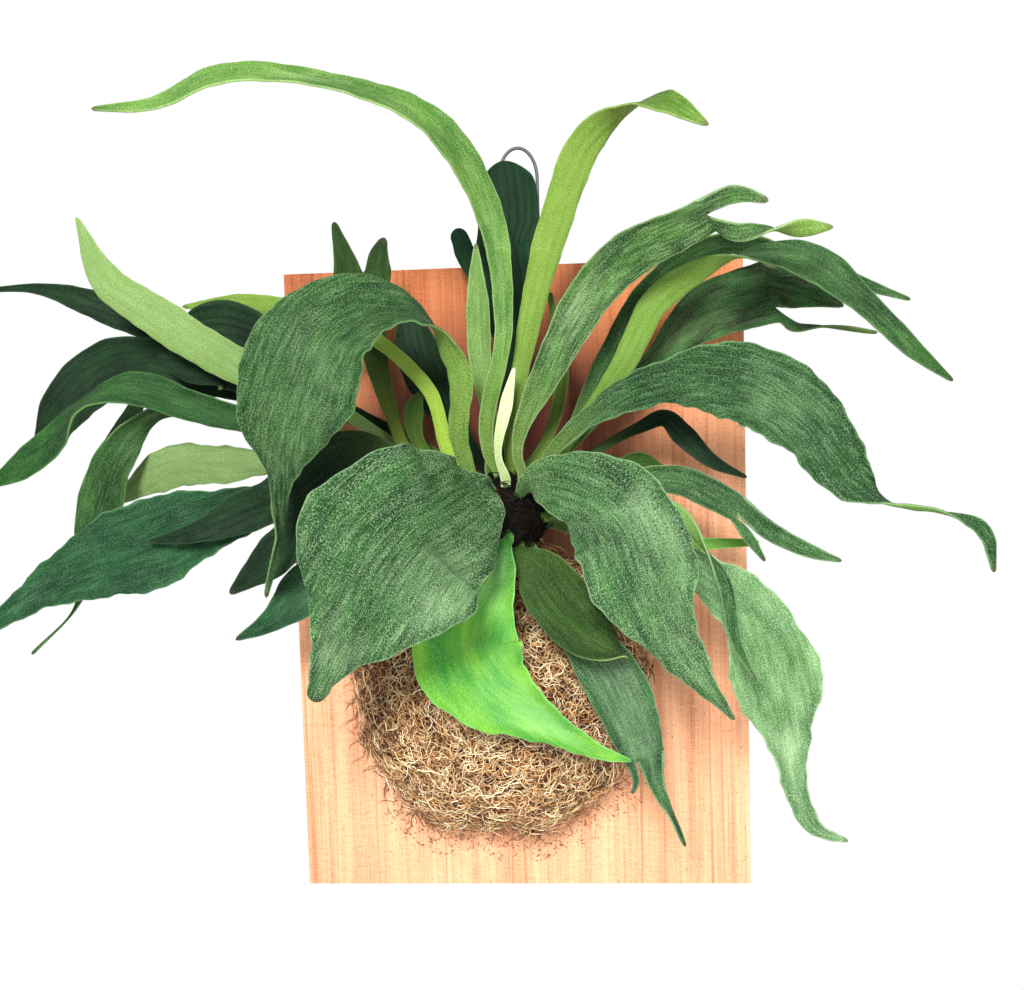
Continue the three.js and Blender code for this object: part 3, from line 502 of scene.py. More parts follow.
class Skin:
    """The rows of a frond's middle surface, with the numbers that its finish follows: lane, the place
    across it, reach, the way from its root, rim, the way to the edge, and tip, the way to the tip."""

    def __init__(self):
        self.count = 0
        self.points = []
        self.faces = []
        self.numbers = {"lane": [], "reach": [], "rim": [], "tip": [], "thick": []}

    def grow(self, knots, columns, waves, forks, phase, rng, shared=None):
        """Adds a blade, from the row that it shares with its parent, and then its forks."""
        knots = np.array(knots, dtype=float)
        sheet, places, reach, width, v = blade_sheet(knots, columns, waves, phase, bool(forks), rng)
        tip = reach[-1] + longest_fork(forks) - reach
        thick = np.full(len(places), BLADE["thick"])
        first, lane_start = 0, 0.0
        if shared is None:
            stalk = np.clip(1 - np.maximum(places - 1, 0) / 2, 0, 1)
            thick = thick + (STALK["thick"] - BLADE["thick"]) * stalk
        else:
            sheet += (shared["points"] - sheet[0])[None] * ease(1 - places)[:, None, None]
            reach = shared["reach"] + reach
            first, lane_start = 1, shared["lane"]
        lane = lane_start + v * width[:, None] / 2
        rows = {"lane": lane, "reach": reach[:, None], "rim": (1 - np.abs(v)) * width[:, None] / 2,
                "tip": tip[:, None], "thick": thick[:, None]}
        for label, numbers in rows.items():
            self.numbers[label].append(np.broadcast_to(numbers, v.shape)[first:].ravel())
        size = columns + 1
        index = np.arange(len(places) * size).reshape(-1, size) + self.count - first * size
        if shared is not None:
            index[0] = shared["index"]
        self.points.append(sheet[first:].reshape(-1, 3))
        self.count += (len(places) - first) * size
        corners = [index[:-1, :-1], index[:-1, 1:], index[1:, 1:], index[1:, :-1]]
        self.faces.append(np.stack(corners, axis=-1).reshape(-1, 4))
        start = 0
        for number, (patches, path) in enumerate(forks):
            taken = patches * COLUMNS_A_PATCH
            part = slice(start, start + taken + 1)
            start += taken
            edge = {"points": sheet[-1][part], "index": index[-1][part], "reach": reach[-1],
                    "lane": (lane[-1][part][0] + lane[-1][part][-1]) / 2}
            left, right = edge["points"][0], edge["points"][-1]
            knot = [*((left + right) / 2), np.linalg.norm(right - left), knots[-1][4]]
            lag = BLADE["fork_lag"] * (number + 1)
            self.grow([knot, *to_knots(path)], taken, waves, (), phase + lag, rng, edge)

    def closed(self):
        """The sheet thickened to a closed body: an upper and a lower face, thin at the edges as a
        quarter circle, joined by a wall along the open edges."""
        points, faces = np.concatenate(self.points), np.concatenate(self.faces)
        numbers = {label: np.concatenate(parts) for label, parts in self.numbers.items()}
        normal = np.zeros_like(points)
        a, b, c, d = (points[faces[:, i]] for i in range(4))
        facing = np.cross(c - a, d - b)
        for i in range(4):
            np.add.at(normal, faces[:, i], facing)
        thick = numbers.pop("thick")
        inside = np.clip(numbers["rim"] / (BLADE["rim_width"] * thick), 0, 1)
        rounded = BLADE["rim_share"] + (1 - BLADE["rim_share"]) * np.sqrt(1 - (1 - inside) ** 2)
        half = 0.5 * (thick * rounded)[:, None] * unit(normal)
        count = len(points)
        edges = np.vstack([faces[:, [i, (i + 1) % 4]] for i in range(4)])
        key = edges.min(axis=1) * count + edges.max(axis=1)
        _, where, times = np.unique(key, return_index=True, return_counts=True)
        start, end = edges[where[times == 1]].T
        walls = np.stack([end, start, start + count, end + count], axis=1)
        doubled = {label: np.tile(values, 2) for label, values in numbers.items()}
        doubled["upper"] = np.repeat([1.0, 0.0], count)
        solid = np.vstack([faces, faces[:, ::-1] + count, walls])
        return np.vstack([points + half, points - half]), solid, doubled


# ---------------------------------------------------------------- shader helpers
class Value:
    """A number from a shader socket, which adds and multiplies as a plain number does."""

    def __init__(self, nodes, socket):
        self.nodes, self.socket = nodes, socket

    def __add__(self, other):
        return self.nodes.math("ADD", self, other)

    def __sub__(self, other):
        return self.nodes.math("SUBTRACT", self, other)

    def __mul__(self, other):
        return self.nodes.math("MULTIPLY", self, other)


class Nodes:
    """Short names for making and joining shader nodes. Colours are given as 0 to 255 screen values."""

    def __init__(self, tree):
        self.tree = tree

    def add(self, kind, settings=None, **inputs):
        """A node, with its settings, and its inputs given as values or as sockets to join. An input
        is named as on the node, with _ for a space, or as i and its number."""
        node = self.tree.nodes.new(kind)
        for label, value in (settings or {}).items():
            setattr(node, label, value)
        for label, value in inputs.items():
            numbered = label[0] == "i" and label[1:].isdigit()
            self.put(node, int(label[1:]) if numbered else label.replace("_", " "), value)
        return node

    def put(self, node, label, value):
        value = value.socket if isinstance(value, Value) else value
        if isinstance(value, bpy.types.NodeSocket):
            self.tree.links.new(value, node.inputs[label])
        else:
            node.inputs[label].default_value = linear(*value) if is_color(value) else value

    def value(self, node, output=0):
        return Value(self, node.outputs[output])

    def math(self, operation, a, b=0.0, clamp=False):
        settings = {"operation": operation, "use_clamp": clamp}
        return self.value(self.add("ShaderNodeMath", settings, i0=a, i1=b))

    def span(self, value, low, high, to_low=0.0, to_high=1.0):
        """The value moved smoothly from one range to another, held inside it."""
        return self.value(self.add("ShaderNodeMapRange", {"interpolation_type": "SMOOTHSTEP"},
                                   i0=value, i1=low, i2=high, i3=to_low, i4=to_high))

    def mix(self, share, a, b, blend="MIX"):
        settings = {"data_type": "RGBA", "blend_type": blend}
        return self.value(self.add("ShaderNodeMix", settings, i0=share, i6=a, i7=b), 2)

    def noise(self, place, scale, detail=2.0, roughness=0.5, distortion=0.0):
        return self.value(self.add("ShaderNodeTexNoise", None, Vector=place, Scale=scale, Detail=detail,
                                   Roughness=roughness, Distortion=distortion))

    def number(self, name):
        return self.value(self.add("ShaderNodeAttribute", {"attribute_name": name}), "Fac")

    def place(self):
        return self.value(self.add("ShaderNodeTexCoord"), "Object")

    def join(self, x, y, z=0.0):
        return self.value(self.add("ShaderNodeCombineXYZ", None, X=x, Y=y, Z=z))

    def stretch(self, place, x, y, z):
        return self.value(self.add("ShaderNodeMapping", None, Vector=place, Scale=(x, y, z)))

    def ramp(self, value, *stops):
        """A colour for each value, from stops of (value, colour)."""
        node = self.add("ShaderNodeValToRGB", None, Fac=value)
        ramp = node.color_ramp
        while len(ramp.elements) < len(stops):
            ramp.elements.new(0.5)
        for element, (position, color) in zip(ramp.elements, stops):
            element.position = position
            element.color = linear(*color)
        return self.value(node)


def is_color(value):
    """Colours are three whole numbers, and places and stretches are not."""
    return isinstance(value, tuple) and len(value) == 3 and all(isinstance(part, int) for part in value)


def new_material(name, **fixed):
    """A material with a Principled shader, the numbers that are the same all over it set on the shader
    itself, and the helper that adds nodes to it."""
    material = bpy.data.materials.new(name)
    material.use_nodes = True
    nodes = Nodes(material.node_tree)
    shader = material.node_tree.nodes["Principled BSDF"]
    for label, value in fixed.items():
        shader.inputs[label.replace("_", " ")].default_value = value
    return material, nodes, shader


def finish(nodes, shader, color, roughness=None, height=None, distance=0.0, strength=1.0):
    """Joins a colour to the shader, and a roughness and a bump's height if they are given."""
    nodes.put(shader, "Base Color", color)
    if roughness is not None:
        nodes.put(shader, "Roughness", roughness)
    if height is not None:
        bump = nodes.add("ShaderNodeBump", None, Height=height, Distance=distance, Strength=strength)
        nodes.put(shader, "Normal", bump.outputs[0])


def grained_material(name, grain, stops, roughness, bump=None, **fixed):
    """A material of one grain: a noise, with its colour, roughness and bump from the noise's value."""
    material, nodes, shader = new_material(name, **fixed)
    value = nodes.noise(nodes.place(), *grain)
    rough = nodes.span(value, 0.3, 0.7, *roughness)
    finish(nodes, shader, nodes.ramp(value, *stops), rough, value if bump else None, bump or 0.0)
    return material


def fibre_material(name, stops, speckle=0.0, **fixed):
    """Fibres coloured by their tints, with fine specks that lighten and darken them."""
    material, nodes, shader = new_material(name, **fixed)
    value = nodes.number("tint")
    if speckle:
        value = value + (nodes.noise(nodes.place(), 420.0, 2.0) - 0.5) * speckle
    finish(nodes, shader, nodes.ramp(value, *stops))
    return material


def new_group(name, inputs, outputs):
    """A shader node group with named inputs (name: default) and outputs (name: kind)."""
    tree = bpy.data.node_groups.new(name, "ShaderNodeTree")
    for label, value in inputs.items():
        kind = "NodeSocketColor" if is_color(value) else "NodeSocketFloat"
        socket = tree.interface.new_socket(label, in_out="INPUT", socket_type=kind)
        socket.default_value = linear(*value) if is_color(value) else value
    for label, kind in outputs.items():
        tree.interface.new_socket(label, in_out="OUTPUT", socket_type=f"NodeSocket{kind}")
    nodes = Nodes(tree)
    return tree, nodes, nodes.add("NodeGroupInput").outputs, nodes.add("NodeGroupOutput")


# ---------------------------------------------------------------- frond finish
# How strongly each effect of the felted skin shows, from 0 to 1. The first is a painted sheen.
FELT = {"painted_sheen": 0.36, "pale_streaks": 0.42, "dark_streaks": 0.9, "stalk": 0.85, "gaps": 0.9, "hairs": 0.66,
        "edge": 0.35}
# Hairs to a millimetre across a blade and along it.
NAP = (2.8, 1.15)
DRY_BROWN = (62, 50, 36)


def make_felt_group():
    """The felted skin of a frond: two greens in long soft patches, a painted silvery sheen in patches away
    from the edges, where the felt is also denser, fine lengthwise streaks and ribs, pale hairs in short
    dashes along the blade with dark gaps between them, a paler underside, a yellower stalk, a thin paler edge
    and a dry brown tip."""
    tree, nodes, given, out = new_group(
        "felted_frond",
        {"Upper": (90, 128, 88), "Shade": (40, 80, 55), "Under": (170, 195, 120), "Stalk": (92, 118, 44),
         "Hairs": (186, 204, 172), "Felt": 0.5, "Streaks": 0.5, "Painted sheen": 0.5, "Dry tip": 0.5,
         "Stalk ends": 85.0},
        {"Color": "Color", "Roughness": "Float", "Height": "Float"})
    place = nodes.place()
    lane, reach, rim, tip, upper = (nodes.number(name) for name in ("lane", "reach", "rim", "tip", "upper"))
    flow = nodes.join(lane, reach * 0.09)
    patches = nodes.span(nodes.noise(nodes.join(lane * 0.07, reach * 0.022), 1.0, 3.0, 0.55), 0.28, 0.74)
    color = nodes.mix(patches, given["Shade"], given["Upper"])
    cloud = nodes.span(nodes.noise(place, 13.0, 2.0, 0.5, 0.3), 0.42, 0.66)
    # Painted sheen: silvery patches away from the edges, where light catches the felt.
    painted_sheen = nodes.span(rim, 1.5, 8.0) * cloud * given["Painted sheen"]
    color = nodes.mix(painted_sheen * FELT["painted_sheen"], color, given["Hairs"])
    streak = nodes.noise(flow, 0.85, 4.0, 0.65)
    pale = nodes.span(streak, 0.5, 0.7) * given["Streaks"]
    color = nodes.mix(pale * FELT["pale_streaks"], color, given["Hairs"])
    dark = nodes.span(streak, 0.5, 0.34) * given["Streaks"]
    color = nodes.mix(dark * FELT["dark_streaks"], color, given["Shade"])
    color = nodes.mix(nodes.span(upper, 0.4, 0.6), given["Under"], color)
    color = nodes.mix(nodes.span(reach, given["Stalk ends"], 15.0) * FELT["stalk"], color, given["Stalk"])
    hairs = nodes.noise(nodes.join(lane * NAP[0], reach * NAP[1]), 1.0, 1.0, 0.5, 0.4)
    crowd = nodes.span(nodes.noise(place, 75.0, 3.0, 0.6), 0.3, 0.7, -0.03, 0.03)
    bands = nodes.span(nodes.noise(flow, 0.38, 3.0, 0.65), 0.3, 0.7, -0.05, 0.05)
    dense = hairs + (crowd + bands + painted_sheen * 0.07)
    felt = nodes.span(dense, 0.53, 0.62) * given["Felt"]
    gaps = nodes.span(dense, 0.5, 0.4) * given["Felt"]
    color = nodes.mix(gaps * FELT["gaps"], color, given["Shade"])
    color = nodes.mix(felt * FELT["hairs"], color, given["Hairs"])
    color = nodes.mix(nodes.span(rim, 0.7, 0.15) * FELT["edge"], color, given["Hairs"])
    color = nodes.mix(nodes.span(tip, 5.0, 1.0) * given["Dry tip"], color, DRY_BROWN)
    ribs = nodes.math("SINE", lane * 1.3 + streak * 7.0)
    nodes.put(out, "Color", color)
    nodes.put(out, "Roughness", nodes.span(hairs, 0.3, 0.7, 0.5, 0.72))
    nodes.put(out, "Height", ribs * 0.25 + felt * 0.45 + streak * 0.9)
    return tree


def frond_material(name, group, values):
    """A frond's own finish: the felted group with the frond's greens, and a faint soft sheen."""
    material, nodes, shader = new_material(f"frond_{name}", Sheen_Weight=0.035, Sheen_Roughness=0.45,
                                           Specular_IOR_Level=0.12)
    felt = nodes.add("ShaderNodeGroup", {"node_tree": group})
    for label, value in values.items():
        nodes.put(felt, label, value)
    finish(nodes, shader, *(felt.outputs[label] for label in ("Color", "Roughness", "Height")), 0.0005, 0.8)
    return material


# Screen colours of each tone: upper face, its shade, underside and felt hairs.
TONE_COLORS = {
    "deep": ((48, 88, 34), (8, 40, 14), (104, 136, 50), (112, 146, 96)),
    "grey": ((50, 96, 42), (6, 40, 14), (104, 142, 62), (144, 176, 128)),
    "mid": ((100, 138, 58), (40, 86, 24), (126, 152, 70), (160, 184, 124)),
    "light": ((102, 130, 46), (58, 96, 20), (106, 136, 50), (156, 178, 108)),
    "pale": ((110, 142, 72), (74, 112, 44), (124, 156, 80), (166, 190, 132)),
    "lime": ((92, 172, 44), (30, 108, 18), (146, 202, 88), (168, 214, 116)),
    # The dark tone is the fronds' own deep green, darkened further with painted shade for fronds that lie in
    # the shade of others.
    "dark": ((14, 44, 18), (3, 18, 8), (70, 100, 40), (54, 86, 54)),
    "blue": ((30, 78, 40), (4, 36, 18), (104, 138, 66), (92, 134, 96)),
    "olive": ((44, 76, 16), (12, 38, 6), (72, 102, 36), (84, 112, 50)),
    "white": ((206, 214, 170), (160, 178, 112), (206, 214, 170), (232, 236, 214)),
}
# What a frond's finish has in place of its tone's colours and the group's own numbers.
OWN_FINISH = {
    "front_lime": {"Felt": 0.4, "Streaks": 0.3, "Painted sheen": 1.0, "Dry tip": 0.0, "Stalk": (24, 66, 16),
      "Stalk ends": 50.0, "Upper": (118, 172, 50), "Shade": (34, 120, 34), "Hairs": (146, 202, 128)},
    "lime_finger": {"Felt": 0.2, "Streaks": 0.2, "Painted sheen": 0.0, "Dry tip": 0.0, "Upper": (124, 160, 70)},
    "lower_olive": {"Streaks": 0.4, "Painted sheen": 0.4, "Under": (180, 196, 120),
      "Hairs": (104, 132, 76), "Stalk": (40, 66, 18), "Stalk ends": 45.0},
    "lower_middle": {"Hairs": (146, 178, 138)},
    "front_round": {"Painted sheen": 0.7, "Streaks": 0.9, "Felt": 0.75, "Stalk": (24, 54, 18)},
    "front_right_broad": {"Painted sheen": 0.9, "Streaks": 0.7, "Felt": 0.75, "Upper": (66, 112, 56),
      "Stalk": (60, 92, 40), "Stalk ends": 45.0},
    "lower_right_broad": {"Painted sheen": 0.9, "Felt": 0.65, "Upper": (116, 156, 100), "Shade": (44, 88, 42),
      "Hairs": (178, 204, 158)},
    "right_long_wavy": {"Upper": (32, 72, 28), "Felt": 0.65, "Streaks": 1.0, "Hairs": (118, 154, 106)},
    "right_back_broad": {"Upper": (52, 108, 52), "Felt": 0.4, "Painted sheen": 0.8, "Hairs": (126, 138, 96)},
    "left_arch_broad": {"Felt": 0.7, "Painted sheen": 0.35, "Streaks": 1.0, "Upper": (38, 76, 28)},
    "left_pale_wide": {"Under": (106, 132, 76), "Shade": (66, 100, 50)},
    "upper_right_broad": {"Painted sheen": 0.9, "Streaks": 0.8, "Upper": (68, 116, 44), "Hairs": (158, 184, 132)},
    "two_pronged_olive": {"Upper": (30, 56, 12), "Hairs": (62, 90, 40), "Stalk": (150, 172, 70),
      "Stalk ends": 125.0},
    "left_light_strap": {"Stalk": (150, 180, 58), "Stalk ends": 140.0},
    "young_white_tip": {"Stalk": (104, 134, 52), "Stalk ends": 52.0, "Felt": 0.8, "Streaks": 0.2,
      "Dry tip": 0.0, "Hairs": (230, 234, 210)},
    # Painted shade: this back frond is taken to near black-green, as it lies in the shade of the fronds in
    # front of it.
    "back_upright": {"Felt": 0.25, "Painted sheen": 0.1, "Stalk": (18, 38, 14), "Upper": (6, 46, 18),
      "Shade": (4, 30, 12), "Streaks": 0.2, "Dry tip": 0.0, "Hairs": (34, 62, 36)},
    "young_dark": {"Felt": 0.4, "Stalk": (20, 40, 16)},
    "left_green_arch": {"Upper": (32, 76, 28), "Hairs": (88, 128, 74)},
    "left_back_round": {"Dry tip": 0.0},
    "left_back_broad": {"Dry tip": 0.0},
    "left_pale": {"Dry tip": 0.0, "Under": (108, 136, 74)},
}


def make_frond(name, frond, material, rng):
    """One frond, from its root in the crown to its tips, held inside the solids' box."""
    (angle, out), turn = frond.base, frond.path[0][4]
    root, surface = stalk_root(angle, out)
    knots = [[*root, STALK["width"], turn], [*surface, STALK["neck"], turn], *to_knots(frond.path)]
    skin = Skin()
    skin.grow(knots, frond.across * COLUMNS_A_PATCH, frond.waves, frond.forks, 0.0, rng)
    points, faces, numbers = skin.closed()
    piece = new_piece(f"fine_{name}", np.clip(to_part(points), *CAD_BOUNDS), faces, values=numbers)
    dress(piece, material, f"frond_{frond.tone}", f"frond_{name}")


def make_fronds():
    """Every frond, each with its own finish and its own row of random numbers."""
    group = make_felt_group()
    for number, (name, frond) in enumerate(FRONDS.items()):
        values = dict(zip(("Upper", "Shade", "Under", "Hairs"), TONE_COLORS[frond.tone]))
        values.update(OWN_FINISH.get(name, {}))
        make_frond(name, frond, frond_material(name, group, values), np.random.default_rng(SEED + number))


# ---------------------------------------------------------------- moss
def moss_surface(share, angle):
    """The mound's outside in board-frame millimetres: share 0 at its middle and 1 at its foot."""
    waves = sum(size * np.sin(count * angle + start) for size, count, start in MOSS_OUTLINE["waves"])
    lump = MOSS_OUTLINE["mean"] + waves
    height = np.maximum(1 - share ** MOSS["fullness"], 0.0) ** MOSS["roundness"]
    x = MOSS["x"] + MOSS["half_width"] * share * np.cos(angle) * lump
    z = MOSS["z"] + MOSS["half_height"] * share * np.sin(angle) * lump
    return np.stack([x, -(BOARD_THICK + MOSS["depth"] * height), z], axis=-1)


def moss_normals(share, angle):
    """Directions out of the mound, from small steps along its outside both ways."""
    small = 1e-3
    inward = np.maximum(share - small, 0.0)
    along = moss_surface(inward, angle) - moss_surface(np.minimum(share + small, 1.0), angle)
    across = moss_surface(share, angle + small) - moss_surface(share, angle - small)
    return unit(np.cross(across, along))


def make_moss_bed(material, rng):
    """The mound's body, a little inside the fibres: rings from the foot to the middle, with lumps, and
    a flat back on the board."""
    rings, sides, on_board = MOSS_BED["rings"], MOSS_BED["sides"], -BOARD_THICK - MOSS_BED["clear"]
    share = np.sin(np.linspace(math.pi / 2, RING_END, rings))[:, None]
    share, angle = np.broadcast_arrays(share, round_angles(sides)[None, :])
    points = moss_surface(share, angle)
    normal = moss_normals(share, angle)
    depth = np.maximum(MOSS_BED["depth"] - relief(points, rng, MOSS_BED["lumps"]), MOSS_BED["least_depth"])
    points = points - normal * depth[..., None]
    points[..., 1] = np.minimum(points[..., 1], on_board)
    back = points[:1].copy()
    back[..., 1] = on_board
    points = np.concatenate([back, points]).reshape(-1, 3)
    middles = [[MOSS["x"], out, MOSS["z"]] for out in (on_board, points[-sides:, 1].mean())]
    piece = new_piece("moss_bed", to_part(np.vstack([points, middles])), *tube_faces(rings + 1, sides))
    dress(piece, material, "moss", "moss_mound")


def strands(starts, normals, lengths, curls, radii, lifts, rng, rows=7, upright=False):
    """Curly fibres as three-sided tubes with thin ends. Each fibre's heading in the surface's plane
    turns evenly, with a sine's wiggle. Its height over the surface is a start, a half sine wave and a
    slope, which are the three columns of lifts. Upright ones hang down."""
    count = len(starts)
    side = unit(np.cross(normals, [1.0, 0.0, 0.0] if upright else rng.normal(size=(count, 3))))
    ahead = np.cross(normals, side)
    share = np.linspace(0, 1, rows)
    if upright:
        first = rng.normal(math.pi, STRAND["hang_spread"], (count, 1))
    else:
        first = rng.uniform(0, 2 * math.pi, (count, 1))
    heading = first + curls[:, None] * share[None, :]
    turns = share[None, :] * rng.uniform(*STRAND["wiggles"], (count, 1)) + rng.random((count, 1))
    heading = heading + STRAND["wiggle"] * np.sin(2 * math.pi * turns)
    step = lengths[:, None] / (rows - 1)
    east = np.cumsum(np.cos(heading) * step, axis=1)
    north = np.cumsum(np.sin(heading) * step, axis=1)
    rise = lifts[:, :1] + lifts[:, 1:2] * np.sin(math.pi * share)[None, :] + lifts[:, 2:3] * share[None, :]
    middle = (starts[:, None, :] + east[..., None] * side[:, None, :] + north[..., None] * ahead[:, None, :]
              + rise[..., None] * normals[:, None, :])
    along = unit(np.gradient(middle, axis=1))
    cross = unit(np.cross(along, normals[:, None, :] + 1e-3))
    other = np.cross(cross, along)
    round_off = np.sqrt(np.maximum(1 - (2 * share - 1) ** 2, 0.0))[None, :]
    size = (radii[:, None] * (round_off * STRAND["taper"] + STRAND["end"]))[..., None]
    tube = [middle + size * (math.cos(a) * cross + math.sin(a) * other) for a in round_angles(3)]
    points = np.stack(tube, axis=2).reshape(-1, 3)
    walls = grid_faces(rows, 3, closed=True)
    ends = np.array([[2, 1, 0], [3 * rows - 3, 3 * rows - 2, 3 * rows - 1]])
    triangles = np.vstack([walls[:, [0, 1, 2]], walls[:, [0, 2, 3]], ends])
    starts_at = (np.arange(count) * rows * 3)[:, None, None]
    return points, (triangles[None] + starts_at).reshape(-1, 3)


def even_shares(rng, count):
    """Random shares from the mound's middle to its foot, spread evenly over its surface."""
    share = np.linspace(0.02, 1.0, 400)
    line = moss_surface(share, np.zeros_like(share))
    length = np.linalg.norm(np.diff(line, axis=0), axis=1)
    area = np.append(0.0, np.cumsum(length * share[1:]))
    return np.interp(rng.random(count), area / area[-1], share)


def uniform_columns(rng, count, *ranges):
    """A column of even random numbers for each range."""
    return np.stack([rng.uniform(*limits, count) for limits in ranges], axis=1)


def strand_numbers(rng, count, kind):
    """Each strand's length, the turn of its heading from end to end, and its radius."""
    lengths = rng.uniform(*kind["length"], count)
    return lengths, rng.normal(0, kind["curl"], count), rng.uniform(*kind["radius"], count)


def strand_piece(name, points, faces, tint, material, slot, clear=None):
    """A piece of many strands, where each strand has one tint from 0, dark, to 1, pale. They are kept
    clear of the board if a distance is given."""
    if clear is not None:
        points[:, 1] = np.minimum(points[:, 1], -BOARD_THICK - clear)
    tints = np.repeat(np.clip(tint, 0, 1), len(points) // len(tint))
    piece = new_piece(name, to_part(points), faces, values={"tint": tints})
    dress(piece, material, slot)


def make_moss_fibres(name, fibres, material, rng):
    """Curly fibres all over the mound, darker at its foot and most of all at its left."""
    count = fibres["count"]
    share = even_shares(rng, count)
    angle = rng.uniform(0, 2 * math.pi, count)
    normal = moss_normals(share, angle)
    start = moss_surface(share, angle) - normal * FIBRES["root"]
    own = strand_numbers(rng, count, {**FIBRES, **fibres})
    lifts = uniform_columns(rng, count, (0, fibres["lift"]), FIBRES["bow"], FIBRES["slope"])
    points, faces = strands(start, normal, *own, lifts, rng)
    patch = ripple(start, TINT["patch_size"], rng)
    foot = ease((share - TINT["foot_from"]) / (1 - TINT["foot_from"]))
    left = foot * ease(-TINT["left_from"] - np.cos(angle))
    tint = (rng.beta(*TINT["beta"], count) + TINT["patch"] * patch - TINT["foot"] * foot
            - TINT["left"] * left - fibres["darkness"])
    strand_piece(name, points, faces, tint, material, "moss", FIBRES["clear"])


def foot_starts(rng, count, angles, shares):
    """Random points on the board near the mound's foot, between two angles in degrees, from inside it
    to outside it by the two shares of its size."""
    angle = rng.uniform(*np.radians(angles), count)
    start = moss_surface(np.full(count, 1.0), angle)
    share = rng.uniform(*shares, count)
    start[:, 0] = MOSS["x"] + (start[:, 0] - MOSS["x"]) * share
    start[:, 2] = MOSS["z"] + (start[:, 2] - MOSS["z"]) * share
    start[:, 1] = -BOARD_THICK - rng.uniform(*LOOSE["start_out"], count)
    return start


def make_loose_moss(name, loose, material, rng):
    """Thin loose strands near the mound's foot, kept a little clear of the board's front."""
    count = loose["count"]
    start = foot_starts(rng, count, loose["angles"], loose["shares"])
    normal = np.tile([0.0, -1.0, 0.0], (count, 1))
    lifts = np.hstack([np.zeros((count, 1)), uniform_columns(rng, count, LOOSE["bow"], LOOSE["slope"])])
    own = strand_numbers(rng, count, {**LOOSE, **loose})
    points, faces = strands(start, normal, *own, lifts, rng, LOOSE["rows"], loose.get("upright", False))
    strand_piece(name, points, faces, rng.normal(*loose["tint"], count), material, "moss", LOOSE["clear"])


def moss_bed_material():
    """Fine brown grain with softer patches, which shows between the fibres."""
    material, nodes, shader = new_material("dry_moss_bed")
    place = nodes.place()
    grain = nodes.noise(place, 420.0, 4.0, 0.7, 1.5)
    value = grain * 0.75 + nodes.noise(place, 40.0, 2.0) * 0.3
    color = nodes.ramp(value, (0.3, (34, 20, 12)), (0.52, (78, 48, 28)), (0.7, (130, 88, 54)),
                       (0.85, (176, 130, 84)))
    finish(nodes, shader, color, nodes.span(grain, 0.3, 0.7, 0.95, 0.75), grain, 0.002)
    return material


# ---------------------------------------------------------------- crown
def make_crown(material, fibres, rng):
    """The short rootstock: an ellipsoid with knobs, dressed in dry dark fibres."""
    rings, sides, count = CROWN_BARK["rings"], CROWN_BARK["sides"], CROWN_FIBRES["count"]
    height = np.linspace(RING_END, math.pi - RING_END, rings)[:, None]
    angle = round_angles(sides)[None, :]
    x, z = np.sin(height) * np.cos(angle), np.sin(height) * np.sin(angle)
    ball = np.stack([x, -np.cos(height) * np.ones_like(angle), z], axis=-1)
    half_sizes = np.array([CROWN["half_width"], CROWN["half_depth"], CROWN["half_height"]])
    size = half_sizes - CROWN_BARK["depth"]
    centre = np.array([CROWN["x"], -CROWN["out"], CROWN["z"]])
    points = centre + ball * size
    knobs = np.minimum(relief(points, rng, CROWN_BARK["knobs"]), CROWN_BARK["highest"])
    points = (points + ball * knobs[..., None]).reshape(-1, 3)
    poles = centre + np.outer([-size[1], size[1]], TOWARDS_WALL)
    piece = new_piece("crown_stock", to_part(np.vstack([points, poles])),
                      *turned_over(*tube_faces(rings, sides)))
    dress(piece, material, "crown", "crown")
    way = unit(rng.normal(size=(count, 3)))
    lifts = uniform_columns(rng, count, *(CROWN_FIBRES[part] for part in ("start", "bow", "slope")))
    own = strand_numbers(rng, count, CROWN_FIBRES)
    points, faces = strands(centre + way * size, unit(way / size), *own, lifts, rng)
    strand_piece("crown_fibres", points, faces, rng.normal(*CROWN_FIBRES["tint"], count), fibres, "crown")


# ---------------------------------------------------------------- board and wire
# The first colour is painted shade that makes the board's top darker and redder, and the second is a painted
# shadow on its front behind the crown.
TOP_SHADE, SHADOW_BROWN, LINE, SPECK = (216, 176, 142), (116, 68, 48), (168, 92, 58), (120, 70, 44)
SHADOW_PATCH = {"height": 0.085, "inner": 0.035, "outer": 0.125, "share": 0.93}   # in metres over the middle
# Each kind of mark on the wood: how many to a metre across the board and up it, its detail and roughness.
WOOD = {
    "bands": (90.0, 2.5, 3.0, 0.6), "lines": (520.0, 9.0, 4.0, 0.7), "fuzz": (1900.0, 520.0, 3.0, 0.65),
    "saw": (120.0, 1300.0, 2.0, 0.6), "dark_lines": (210.0, 1.6, 2.0, 0.7), "clouds": (14.0, 6.0, 2.0, 0.5),
    "specks": (820.0, 520.0, 1.0, 0.5), "nicks": (90.0, 900.0, 1.0, 0.5),
}
WOOD_COLORS = ((0.38, (182, 112, 76)), (0.46, (214, 148, 108)), (0.54, (230, 172, 130)),
               (0.64, (240, 194, 154)))


